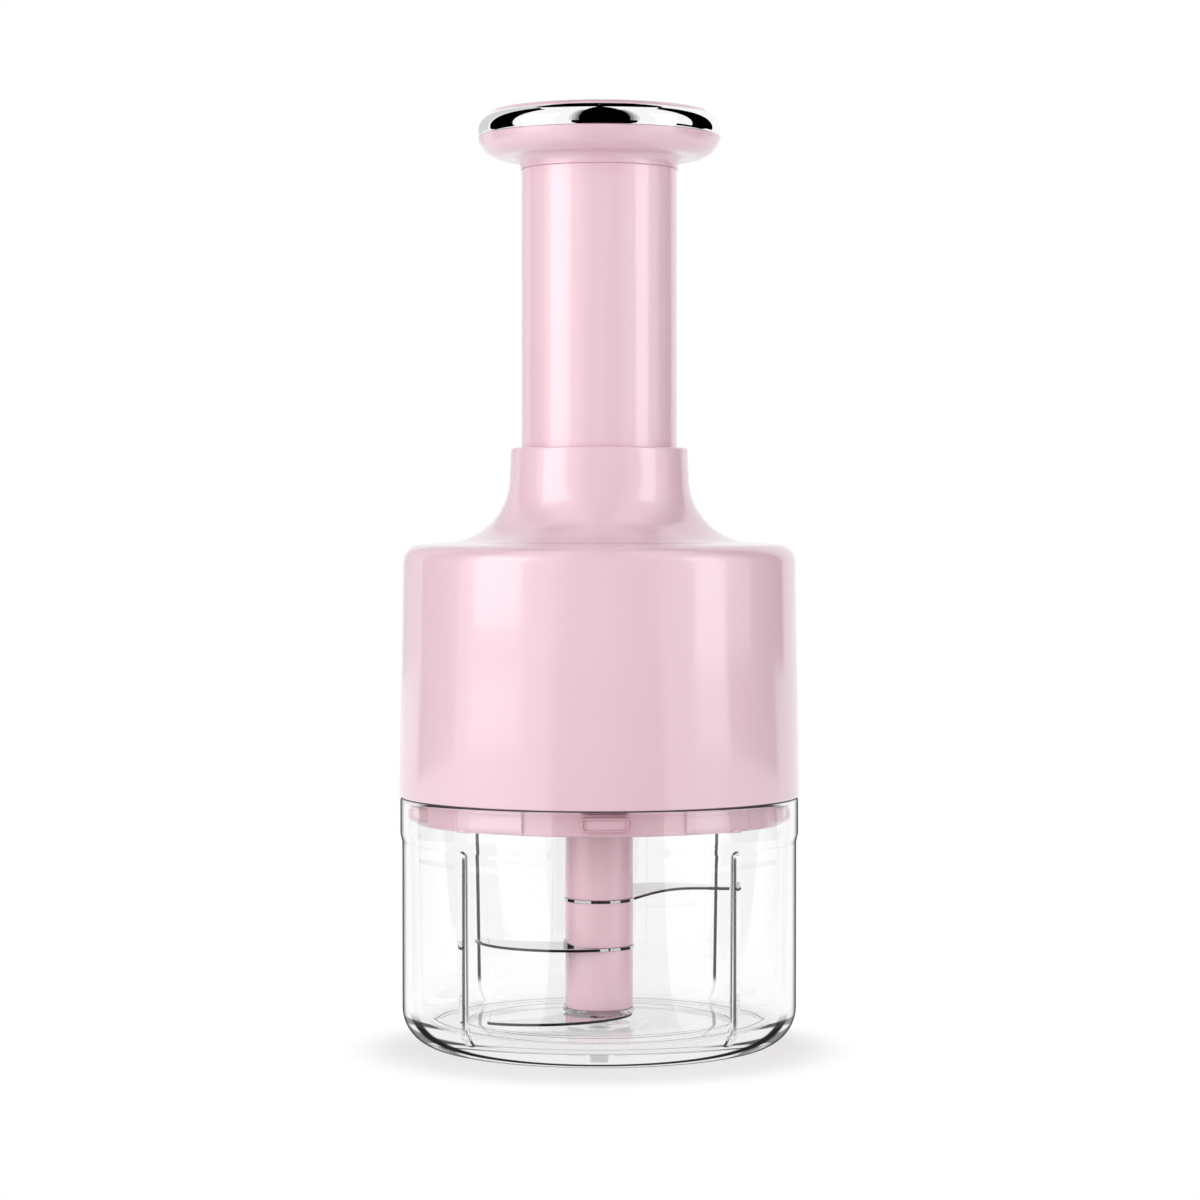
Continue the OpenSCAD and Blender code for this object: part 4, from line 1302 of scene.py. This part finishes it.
@dataclass
class BladeStack:
    """The shaft that turns on the floor's pin, with its sleeves, cap and three blades."""

    shaft_r: float = CurvedBlade.shaft_r
    thick: float = CurvedBlade.thick
    core_r: float = 6.2
    core_gap: float = 0.02
    sleeve_soft: float = 0.2
    pin_bore_r: float = 2.55
    top: float = 57.4
    top_soft: float = 0.5
    cap_low: float = 7.0
    cap_in: tuple[float, float] = (0.4, 0.3)
    cap_soft: tuple[float, float] = (0.5, 0.1)
    socket: float = 14.4
    socket_flats: float = 8.4
    socket_soft: float = 0.25
    socket_mouth: float = 0.35
    socket_rim_r: float = 5.6
    upper_z: float = 37.0
    middle_z: float = 24.7
    lower_z: float = 8.5

    def turned_part(self, name: str, node: str, corners: list[Corner]) -> None:
        """Turns one plastic piece of the shaft.

        Args:
            name: The piece's name.
            node: The CAD node that it replaces.
            corners: The corners of its closed section.
        """
        shell = lathe(soft_path(corners, closed=True, turn=20), 160, wrap=True)
        self.fit(make_piece(name, [shell]), node)

    def fit(self, piece: bpy.types.Object, node: str) -> None:
        """Fits a plastic piece of the shaft in the place of its CAD node."""
        fit_piece(piece, "blade_unit", node, SHAFT_PLASTIC)

    def sleeve(self, name: str, node: str, low: float, high: float) -> None:
        """Makes one spacer sleeve with softened ends.

        Args:
            name: The piece's name.
            node: The CAD node that it replaces.
            low: Where it starts.
            high: Where it ends.
        """
        inner, outer, soft = self.core_r + self.core_gap, self.shaft_r, self.sleeve_soft
        corners = [(inner, low), (outer, low, soft), (outer, high, soft), (inner, high)]
        self.turned_part(name, node, corners)

    def cap(self) -> None:
        """Makes the cap under the lowest blade."""
        low_r, high_r = (self.shaft_r - inset for inset in self.cap_in)
        corners = [
            (self.pin_bore_r, self.cap_low),
            (low_r, self.cap_low, self.cap_soft[0]),
            (high_r, self.lower_z, self.cap_soft[1]),
            (self.pin_bore_r, self.lower_z),
        ]
        self.turned_part("shaft_end_cap", "shaft_cap", corners)

    def hub(self) -> None:
        """Makes the hub: a turned skin whose inner rows follow a hexagon.

        The hexagon's radius at the angle a is half its flats over the cosine of a's distance
        from the nearest flat's middle.
        """
        low, deep = self.upper_z + self.thick, self.top - self.socket
        turn = np.arange(0, 360, 2.0)
        hexagon = self.socket_flats / 2 / np.cos(np.radians(turn % 60 - 30))
        corners = [
            (0, low),
            (self.shaft_r, low, self.sleeve_soft),
            (self.shaft_r, self.top, self.top_soft),
            (self.socket_rim_r, self.top),
        ]
        skin = soft_path(corners, turn=18)
        outside = np.outer(skin[:, 0], np.ones_like(turn))
        radius = np.vstack([outside, hexagon + self.socket_soft, hexagon, hexagon, 0 * hexagon])
        height = np.append(skin[:, 1], [self.top, self.top - self.socket_mouth, deep, deep])
        grid = about_axis(radius, np.radians(turn), height[:, None])
        self.fit(make_piece("shaft_hub", [grid_shell(grid)]), "blade_shaft")

    def blades(self) -> tuple[CurvedBlade, ...]:
        """Lists the blades, from the top down, turned to where each stands at rest.

        Returns:
            The three blades, of which the upper bends up and the lower bends down.
        """
        return (
            CurvedBlade("upper_curved_blade", "upper_blade", self.upper_z, 32.0, 1.9, 15.0),
            CurvedBlade("middle_curved_blade", "middle_blade", self.middle_z, 180.0, 0.0, 15.0),
            CurvedBlade(
                "lower_curved_blade",
                "lower_blade",
                self.lower_z,
                238.0,
                -0.9,
                0.7,
                tab=0.9,
                tab_from=-62.0,
                tab_to=-34.0,
            ),
        )

    def build(self, frame: dict) -> None:
        """Makes the whole stack.
        """
        self.hub()
        self.sleeve("upper_spacer", "middle_sleeve", self.middle_z + self.thick, self.upper_z)
        self.sleeve("lower_spacer", "lower_sleeve", self.lower_z + self.thick, self.middle_z)
        self.cap()
        for blade in self.blades():
            blade.build()


# ---------------------------------------------------------------- the head


@dataclass
class PinkHead:
    """The head: its shell from the lower edge over the shoulder to the neck, and its lid."""

    foot_z: float = 64.8
    foot_r: float = 52.0
    foot_soft: float = 0.4
    top_r: float = 51.0
    shoulder_z: float = 130.0
    shoulder_r: float = 4.6
    crown: float = 0.5
    flare_r: float = 17.0
    flare_in: float = 0.3
    neck_z: float = 155.0
    neck_r: float = 23.0
    neck_soft: float = 0.6
    bore_r: float = 20.5
    bore_soft: float = 0.3
    wall: float = 2.4
    stop_z: float = 137.0
    stop_slope: float = 1.5
    room_r: float = 25.8
    room_z: float = 128.4
    room_turn: float = 223.0

    def section(self) -> np.ndarray:
        """Draws the shell's closed section, outside first.

        Between the shoulder's arc and the neck's sweep the crown rises as half a cosine wave.

        Returns:
            The section's points, as rows of (r, z).
        """
        soft, neck, lip = self.foot_soft, self.neck_soft, self.bore_soft
        shoulder = (self.top_r - self.shoulder_r, self.shoulder_z - self.shoulder_r)
        flare_r = self.neck_r + self.flare_in + self.flare_r
        sweep = (flare_r, self.shoulder_z + self.crown + self.flare_r)
        t = np.linspace(0, 1, 7)[1:-1]
        rise_r = shoulder[0] + (sweep[0] - shoulder[0]) * t
        rise_z = self.shoulder_z + self.crown * (1 - np.cos(np.pi * t)) / 2
        return soft_path(
            [
                (self.foot_r - self.wall, self.foot_z),
                *arc((self.foot_r - soft, self.foot_z + soft), soft, -90, 0, 4),
                *arc(shoulder, self.shoulder_r, 0, 90, 16),
                *zip(rise_r.tolist(), rise_z.tolist()),
                *arc(sweep, self.flare_r, 270, 180, 26),
                *arc((self.neck_r - neck, self.neck_z - neck), neck, 0, 90, 5),
                *arc((self.bore_r + lip, self.neck_z - lip), lip, 90, 180, 3),
                (self.bore_r, self.stop_z),
                (self.room_r, self.stop_z - self.stop_slope),
                (self.room_r, self.room_z),
                *arc(sweep, self.flare_r + self.wall, self.room_turn, 270, 8),
                *arc(shoulder, self.shoulder_r - self.wall, 90, 0, 6),
            ]
        )

    def build(self, frame: dict) -> None:
        """Makes the shell and dresses the pieces that the head carries.
        """
        shell = make_piece("head_shell", [lathe(self.section(), 288, wrap=True)])
        fit_piece(shell, "head", "housing", SHELL_ABS)
        nodes = frame["nodes"]
        LID_ABS.clothe(nodes["lid"])
        SILICONE.clothe(nodes["rim_seal"])
        PLAIN_STEEL.clothe(nodes["lid_screws"])
        BRONZE.clothe(nodes["spindle_bush"])
        WHITE_ABS.clothe(nodes["guide_sleeve"], nodes["gear_cap"])
        ACETAL.clothe(nodes["ring_gear"])
        ReturnSpring().build()


@dataclass
class ReturnSpring:
    """The return spring, whose coils close up as the plunger goes down."""

    mean_r: float = 13.3
    wire_r: float = 1.0
    low: float = 76.05
    top: float = 221.55
    coils: int = 13
    flat: float = 2.1
    stroke: float = 58.0
    sides: int = 12
    steps: int = 40

    def wire(self) -> Shell:
        """Winds the wire: its end turns lie nearly flat and the others climb evenly.

        At t turns the wire's middle is at (R cos 2 pi t, R sin 2 pi t), and the round wire's own
        angle b adds w cos b to the radius and w sin b to the height.

        Returns:
            The wire's surface.
        """
        turns = np.linspace(0, self.coils, self.coils * self.steps + 1)[:, None]
        first, last = self.low + self.wire_r, self.top - self.wire_r
        known = [0, 1, self.coils - 1, self.coils]
        height = np.interp(turns, known, [first, first + self.flat, last - self.flat, last])
        around = np.linspace(0, 2 * np.pi, self.sides, endpoint=False)
        radius = self.mean_r + self.wire_r * np.cos(around)
        rise = height + self.wire_r * np.sin(around)
        return swept_shell(about_axis(radius, 2 * np.pi * turns, rise))

    def build(self) -> None:
        """Makes the spring as it stands at rest, with a mesh of its own. The real spring shortens
        by the stroke at the plunger's lower limit.
        """
        spring = make_piece("coil_spring", [self.wire()], crease=50.0)
        fit_piece(spring, "head", "return_spring", PLAIN_STEEL)
        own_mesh(spring)


# ---------------------------------------------------------------- the plunger


@dataclass
class HandPlunger:
    """The plunger: its tube, and the knob with a bright ring between two pink shells.

    Names that end in _r are radii, and those that end in _in are how far inside a named radius
    a corner lies. The others are heights, walls and the radii of rounded corners.
    """

    tube_r: float = 20.2
    tube_wall: float = 2.0
    tube_low: float = 132.2
    tube_top: float = 227.0
    tube_end: float = 3.0
    bore_soft: float = 0.5
    top_soft: float = 0.15
    soft: float = 0.2
    foot_step: float = 1.2
    foot_h: float = 4.6
    plate_top: float = 229.0
    plate_gap: float = 0.02
    seat_gap: float = 0.2
    knob_r: float = 31.6
    knob_wall: float = 3.8
    brim_z: float = 235.5
    brim_in: float = 0.1
    brim_soft: float = 0.12
    belly_r: float = 6.6
    belly_in: float = 6.5
    belly_up: float = 1.1
    sweep_r: float = 3.0
    floor_h: float = 2.2
    floor_in: float = 3.2
    lip_w: float = 2.0
    lip_in: float = 0.3
    rebate: float = 1.2
    band_r: float = 4.4
    band_up: float = 1.6
    band_in: float = 0.1
    band_low_in: float = 0.4
    band_high_in: float = 2.65
    band_slope: float = 0.4
    joint: float = 0.05
    ring_h: float = 5.4
    side_h: float = 0.9
    dome_in: float = 2.8
    dome_h: float = 2.6
    dome_wall: float = 2.0
    dome_soft: float = 0.8
    dome_edge: float = 0.9
    dome_corner: float = 0.1

    def tube(self) -> Shell:
        """Draws the tube, closed at its top, with its lower end stepped for the foot ring.

        Returns:
            The tube's surface.
        """
        bore_r, step_r = self.tube_r - self.tube_wall, self.tube_r - self.foot_step
        end, foot = self.tube_top - self.tube_end, self.tube_low + self.foot_h
        corners = [
            (0, end),
            (bore_r, end, self.bore_soft),
            (bore_r, self.tube_low),
            (step_r, self.tube_low),
            (step_r, foot),
            (self.tube_r, foot, self.soft),
            (self.tube_r, self.tube_top, self.top_soft),
            (step_r, self.tube_top),
            (step_r, self.plate_top, self.soft),
            (0, self.plate_top),
        ]
        return lathe(soft_path(corners, turn=15), 240)

    def belly(self) -> Shell:
        """Draws the knob's lower shell: a short sweep off the tube, then a round belly.

        Returns:
            The shell's surface.
        """
        hole_r, lip = self.tube_r - self.foot_step + self.plate_gap, self.soft
        neck, brim = self.tube_r + lip, self.knob_r - self.brim_in
        seat, floor = self.plate_top + self.seat_gap, self.plate_top + self.floor_h
        inner, ledge = self.knob_r - self.knob_wall, self.brim_z - self.rebate
        start = self.tube_top + lip
        belly = (brim - self.belly_in, self.brim_z + self.belly_up)
        corners = [
            (0, seat),
            (hole_r, seat),
            (hole_r, self.tube_top),
            *arc((neck + lip, start), lip, -90, -180, 3),
            *arc((neck + self.sweep_r, start), self.sweep_r, 178, 96, 10),
            *arc(belly, self.belly_r, -84, -11, 18),
            (brim, self.brim_z - self.brim_soft),
            (brim - self.brim_soft, self.brim_z),
            (inner + self.lip_in, self.brim_z),
            (inner + self.lip_in, ledge),
            (inner - self.lip_w, ledge),
            (inner - self.floor_in, floor),
            (0, floor),
        ]
        return lathe(soft_path(corners), 256)

    def band(self) -> Shell:
        """Draws the bright ring: one long arc, with its lips turned in.

        Returns:
            The ring's surface.
        """
        inner = self.knob_r - self.knob_wall + self.band_in
        low, high = self.brim_z + self.joint, self.brim_z + self.ring_h
        middle = (self.knob_r - self.band_r, self.brim_z + self.band_up)
        corners = [
            (inner, low),
            (self.knob_r - self.band_low_in, low),
            *arc(middle, self.band_r, -17, 62, 26),
            (self.knob_r - self.band_high_in, high),
            (inner, high - self.band_slope),
        ]
        return lathe(soft_path(corners), 288, wrap=True)

    def dome(self) -> Shell:
        """Draws the domed cap: a short upright edge, a rounded shoulder and a shallow sphere.

        The sphere's radius is (edge^2 + h^2) / 2 h, for a dome of height h over its edge.

        Returns:
            The cap's surface.
        """
        edge, skirt = self.knob_r - self.dome_in, self.knob_r - self.knob_wall
        low = self.brim_z + self.ring_h
        side = low + self.side_h
        top = side + self.dome_h
        ledge = self.brim_z - self.rebate + self.joint
        ball = (edge**2 + self.dome_h**2) / (2 * self.dome_h)
        lean = math.degrees(math.asin((edge - self.dome_edge) / ball))
        inside = arc((0, top - ball), ball - self.dome_wall, 90, 90 - lean + 1.5, 8)
        corners = [
            (0, top - self.dome_wall),
            *inside[1:],
            (skirt - self.lip_w, ledge),
            (skirt, ledge),
            (skirt, low - 0.3),
            (edge - self.dome_corner, low + self.joint),
            (edge, low + self.joint + self.dome_corner),
            (edge, side - 0.7, self.dome_soft),
            *arc((0, top - ball), ball, 90 - lean, 90, 22),
        ]
        return lathe(soft_path(corners, turn=12), 256)

    def build(self, frame: dict) -> None:
        """Makes the plunger's outer pieces and dresses its inner ones.
        """
        pieces = (
            ("plunger_barrel", "plunger_tube", self.tube(), "shell_plastic", SHELL_ABS),
            ("knob_belly", "knob_body", self.belly(), "shell_plastic", SHELL_ABS),
            ("bright_band", "bright_ring", self.band(), "bright_metal", CHROME),
            ("knob_dome", "knob_cap", self.dome(), "shell_plastic", SHELL_ABS),
        )
        for name, node, shell, slot, finish in pieces:
            fit_piece(make_piece(name, [shell]), "plunger", node, finish)
        nodes = frame["nodes"]
        ACETAL.clothe(nodes["plunger_foot"], nodes["drive_nut"])
        WHITE_ABS.clothe(nodes["nut_tube"])
        PLAIN_STEEL.clothe(nodes["knob_screws"])


@dataclass
class DriveTrain:
    """The screw, ratchet and gears inside the head, which keep their own solids."""

    acetal: tuple[str, ...] = (
        "pawl_disc",
        "planet_carrier",
        "planet_gear_1",
        "planet_gear_2",
        "planet_gear_3",
        "sun_gear",
    )
    nylon: tuple[str, ...] = ("drive_screw",)
    steel: tuple[str, ...] = ("planet_pins", "drive_spindle")

    def build(self, frame: dict) -> None:
        """Dresses the drive's pieces.
        """
        groups = ((ACETAL, self.acetal), (NYLON, self.nylon), (PLAIN_STEEL, self.steel))
        for finish, names in groups:
            finish.clothe(*(frame["nodes"][name] for name in names))
            log.info("drive train: %s on %s", finish.name, ", ".join(names))


# ---------------------------------------------------------------- the studio


def make_sheet(name: str, grid: np.ndarray) -> bpy.types.Object:
    """Makes a flat or curved sheet for the set.

    Args:
        name: The sheet's name.
        grid: Its points, as rows by columns by three, in metres.

    Returns:
        The object.
    """
    number = np.arange(grid.shape[0] * grid.shape[1]).reshape(grid.shape[:2])
    quads = np.stack([number[:-1, :-1], number[1:, :-1], number[1:, 1:], number[:-1, 1:]], -1)
    return link_mesh(name, grid.reshape(-1, 3), quads.reshape(-1, 4).tolist())


@dataclass(frozen=True)
class SoftBox:
    """A soft lamp that faces the object, placed by its angle from the front."""

    name: str
    turn: float
    height: float
    away: float
    width: float
    tall: float
    radiance: float
    shines: bool = True
    aim_z: float = 0.12

    def build(self) -> None:
        """Makes the lamp. An area lamp's power is its radiance times its area times pi."""
        lamp = bpy.data.lights.new(self.name, "AREA")
        lamp.shape = "RECTANGLE"
        lamp.size, lamp.size_y = self.width, self.tall
        lamp.energy = self.radiance * self.width * self.tall * math.pi
        item = bpy.data.objects.new(self.name, lamp)
        a = math.radians(self.turn)
        item.location = (self.away * math.sin(a), -self.away * math.cos(a), self.height)
        lean = math.atan2(self.height - self.aim_z, self.away)
        item.rotation_euler = (math.pi / 2 - lean, 0, a)
        item.visible_glossy = self.shines
        item.visible_transmission = False
        bpy.context.scene.collection.objects.link(item)


@dataclass(frozen=True)
class BoardPaint(Finish):
    """Matt paint of an even tone, for all that metal mirrors or for metal inside the bowl only.

    Light that the metal inside mirrors has gone through four faces of the bowl on its way here.
    """

    tone: float = 0.0
    inside: bool = False
    faces: float = 3.5

    def shader(self, tree: Tree) -> Socket:
        """Builds the tone, and leaves the board clear for the other kinds of ray.

        Args:
            tree: The tree it goes into.

        Returns:
            The paint's shader.
        """
        tone = add_node(tree, "ShaderNodeEmission", {"Color": srgb(WHITE), "Strength": self.tone})
        through = bent_ray(tree)
        if self.inside:
            depth = add_node(tree, "ShaderNodeLightPath")["Transmission Depth"]
            fewer = {0: depth, 1: self.faces}
            outside = add_node(tree, "ShaderNodeMath", fewer, operation="LESS_THAN")[0]
            through = joined(tree, Join.ANY, through, outside)
        clear = add_node(tree, "ShaderNodeBsdfTransparent")["BSDF"]
        mixed = {0: through, 1: tone["Emission"], 2: clear}
        return add_node(tree, "ShaderNodeMixShader", mixed)["Shader"]


@dataclass(frozen=True)
class Board:
    """A board of the set between two angles from the front, which only reflections see.

    Each kind says what its low and high values are, in metres.
    """

    name: str
    start: float
    stop: float
    low: float
    high: float
    tone: float = 0.0
    inside: bool = False
    columns: int = 13

    def headings(self) -> np.ndarray:
        """Returns level directions, (sin a, -cos a, 0), from the first angle to the last."""
        turn = np.radians(np.linspace(self.start, self.stop, self.columns))
        return np.stack([np.sin(turn), -np.cos(turn), 0 * turn], -1)

    def grid(self) -> np.ndarray:
        """Returns the board's points, in metres. Each kind fills it in."""
        raise NotImplementedError

    def build(self) -> None:
        """Makes the board and paints it."""
        board = make_sheet(self.name, self.grid())
        board.visible_camera = board.visible_diffuse = board.visible_shadow = False
        board.visible_glossy = not self.inside
        use = "inside" if self.inside else "all"
        BoardPaint(f"Board for {use}, tone {self.tone:.2f}", self.tone, self.inside).clothe(board)


@dataclass(frozen=True)
class SideBoard(Board):
    """A curved board that stands beside the set, from its low height to its high one."""

    low: float = -0.1
    high: float = 3.2
    away: float = 1.7

    def grid(self) -> np.ndarray:
        """Returns a strip of a cylinder about the object, between two heights."""
        across = self.headings() * self.away
        return np.stack([across + [0, 0, self.low], across + [0, 0, self.high]])


@dataclass(frozen=True)
class FloorBoard(Board):
    """A sector on the floor, from its low distance from the object's axis to its high one."""

    low: float = 0.075
    high: float = 1.7
    level: float = 0.001

    def grid(self) -> np.ndarray:
        """Returns the sector, from its near edge out to its far edge."""
        across = self.headings()
        return np.stack([across * self.low, across * self.high]) + [0, 0, self.level]


@dataclass(frozen=True)
class CeilingBoard(Board):
    """A disc above and behind the set, from its low radius out to its high one."""

    level: float = 2.6
    behind: float = 0.95
    columns: int = 33

    def grid(self) -> np.ndarray:
        """Returns the disc, from its rim in to its middle."""
        across = self.headings()
        return np.stack([across * self.high, across * self.low]) + [0, self.behind, self.level]


@dataclass(frozen=True)
class PaleFloor(Finish):
    """The pale floor: white to the camera, but for the object's own soft shadow."""

    near: float = 0.047
    far: float = 0.068
    ahead: float = 0.008
    lift: float = 0.40
    bounce: float = 0.18
    albedo: str = "CDCDCD"

    def shader(self, tree: Tree) -> Socket:
        """Builds a floor that fades to even white away from the object.

        Args:
            tree: The tree it goes into.

        Returns:
            The floor's shader.
        """
        board = add_node(tree, "ShaderNodeBsdfDiffuse", {"Color": srgb(self.albedo)})["BSDF"]
        lift, white, bounce = (
            add_node(tree, "ShaderNodeEmission", {"Color": srgb(WHITE), "Strength": strength})[0]
            for strength in (self.lift, 1.0, self.bounce)
        )
        place = add_node(tree, "ShaderNodeTexCoord")["Object"]
        moved = add_node(
            tree, "ShaderNodeVectorMath", {0: place, 1: (0, self.ahead, 0)}, operation="ADD"
        )["Vector"]
        reach = add_node(tree, "ShaderNodeVectorMath", {0: moved}, operation="LENGTH")["Value"]
        shaded, soft = (
            add_node(tree, "ShaderNodeAddShader", {0: board, 1: glow})["Shader"]
            for glow in (lift, bounce)
        )
        fade = soft_share(tree, reach, self.near, self.far)
        view = add_node(tree, "ShaderNodeMixShader", {0: fade, 1: shaded, 2: white})["Shader"]
        rays = add_node(tree, "ShaderNodeLightPath")
        seen = (rays[f"Is {kind} Ray"] for kind in ("Camera", "Glossy", "Transmission"))
        mixed = {0: joined(tree, Join.ANY, *seen), 1: soft, 2: view}
        return add_node(tree, "ShaderNodeMixShader", mixed)["Shader"]


@dataclass
class Studio:
    """Camera, floor, lamps and surroundings, in metres and degrees, but for the lens in mm."""

    camera_away: float = 0.910
    camera_z: float = 0.1373
    camera_x: float = 0.0002
    tilt: float = 1.37
    lens: float = 105.0
    sensor: float = 36.0
    clip: tuple[float, float] = (0.01, 50.0)
    floor_z: float = -0.0002
    floor_rings: tuple[float, ...] = (0.0, 0.05, 0.1, 0.2, 0.4, 0.8, 1.6, 3.0)
    ambient: float = 0.42
    sides: float = 0.03
    above: float = 0.92
    field_in: float = 28.0
    field_out: float = 34.0
    sky: tuple[float, float] = (0.3, 0.7)
    front: tuple[float, float] = (-19.0, 29.0)
    greys: int = 3
    grey_width: float = 3.0
    grey_step: float = 0.25
    boxes: tuple[SoftBox, ...] = (
        SoftBox("left_box", -60, 0.52, 1.15, 0.72, 0.95, 2.6),
        SoftBox("right_box", 66, 0.45, 1.15, 0.46, 0.95, 2.3),
        SoftBox("front_fill", -8, 0.30, 1.5, 1.1, 0.7, 2.8, False),
        SoftBox("left_edge", -105, 0.25, 1.2, 0.5, 0.9, 1.2, False),
        SoftBox("right_edge", 105, 0.25, 1.2, 0.5, 0.9, 0.9, False),
    )
    boards: tuple[Board, ...] = (
        FloorBoard("board_floor", -26, 36),
        FloorBoard("board_floor_left", -124, -88, inside=True),
        FloorBoard("board_floor_right", 72, 120, inside=True),
        # The head mirrors the floor from half a metre out, and the bowl mirrors it nearer by.
        FloorBoard("floor_far_left", -124, -88, 0.5, level=0.002),
        FloorBoard("floor_far_right", 77, 120, 0.5, level=0.002),
        FloorBoard("floor_glow_left", -77, -43, 0.5, 1.15, tone=2.1, level=0.002),
        FloorBoard("floor_glow_right", 55, 77, 0.5, 1.15, tone=1.9, level=0.002),
        SideBoard("board_left", -124, -88),
        SideBoard("board_right", 97, 133),
        SideBoard("board_far_left", -160, -128, tone=0.7),
        CeilingBoard("board_above", 0, 360, 0.022, 1.1),
    )

    def camera(self) -> None:
        """Makes the camera, level with the middle of the head and tilted slightly down."""
        lens = bpy.data.cameras.new("photo_camera")
        lens.lens, lens.sensor_width = self.lens, self.sensor
        lens.clip_start, lens.clip_end = self.clip
        item = bpy.data.objects.new("photo_camera", lens)
        item.location = (self.camera_x, -self.camera_away, self.camera_z)
        item.rotation_euler = (math.radians(90 - self.tilt), 0, 0)
        bpy.context.scene.collection.objects.link(item)
        bpy.context.scene.camera = item

    def floor(self) -> None:
        """Makes the floor as a flat disc of rings."""
        ring, turn = np.array(self.floor_rings)[:, None], np.linspace(0, 2 * np.pi, 65)
        item = make_sheet("pale_floor", about_axis(ring, turn, np.full((1, 1), self.floor_z)))
        PaleFloor("Pale floor").clothe(item)

    def front_boards(self) -> list[Board]:
        """Lists the black board in front of the set, and the greys that soften its two edges.

        Returns:
            The boards, of which the greys grow paler away from the black one.
        """
        found = [SideBoard("board_front", *self.front, high=40.0)]
        for side, edge, way in zip(("left", "right"), self.front, (-1, 1)):
            for k in range(self.greys):
                start, stop = (edge + way * self.grey_width * n for n in (k, k + 1))
                tone = self.grey_step * (k + 1)
                found.append(SideBoard(f"board_grey_{side}_{k}", start, stop, tone=tone))
        return found

    def world(self) -> None:
        """Sets a white surrounding that mirrors see and a softer light for the rest.

        Glass is lit as in a bright-field set: what it bends stays white within field_in degrees
        of straight back and well above the set, and falls to a dark tone by field_out degrees, so
        that only its steep edges turn dark.
        """
        world = bpy.data.worlds.new("white_studio")
        bpy.context.scene.world = world
        world.use_nodes = True
        tree = world.node_tree
        tree.nodes.clear()
        heading = add_node(tree, "ShaderNodeTexCoord")["Generated"]
        parts = add_node(tree, "ShaderNodeSeparateXYZ", {"Vector": heading})
        dark_from, white_from = (math.cos(math.radians(a)) for a in (self.field_out, self.field_in))
        behind = soft_share(tree, parts["Y"], dark_from, white_from)
        above = soft_share(tree, parts["Z"], *self.sky)
        field = joined(
            tree,
            Join.ANY,
            add_node(tree, "ShaderNodeMapRange", {"Value": behind, "To Min": self.sides})["Result"],
            add_node(tree, "ShaderNodeMapRange", {"Value": above, "To Max": self.above})["Result"],
        )
        rays = add_node(tree, "ShaderNodeLightPath")
        seen = joined(tree, Join.ANY, rays["Is Camera Ray"], rays["Is Glossy Ray"])
        open_air = add_node(
            tree, "ShaderNodeMapRange", {"Value": seen, "To Min": self.ambient}
        )["Result"]
        strength = add_node(tree, "ShaderNodeMix", {0: bent_ray(tree), 2: open_air, 3: field})[0]
        air = add_node(tree, "ShaderNodeBackground", {"Color": srgb(WHITE), "Strength": strength})
        add_node(tree, "ShaderNodeOutputWorld", {"Surface": air["Background"]})

    def build(self) -> None:
        """Sets up the whole studio."""
        self.camera()
        self.floor()
        self.world()
        items = (*self.boxes, *self.front_boards(), *self.boards)
        for item in items:
            item.build()
        bpy.context.scene.view_settings.view_transform = "Standard"
        log.info("studio: %d lamps and boards", len(items))


def main() -> None:
    """Builds the studio and the chopper's sub-assemblies in order."""
    logging.basicConfig(level=logging.INFO, format="%(name)s: %(message)s")
    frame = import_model()
    Studio().build()
    for assembly in (ClearBowl(), BladeStack(), PinkHead(), HandPlunger(), DriveTrain()):
        assembly.build(frame)
        log.info("%s built", type(assembly).__name__)


if __name__ == "__main__":
    main()
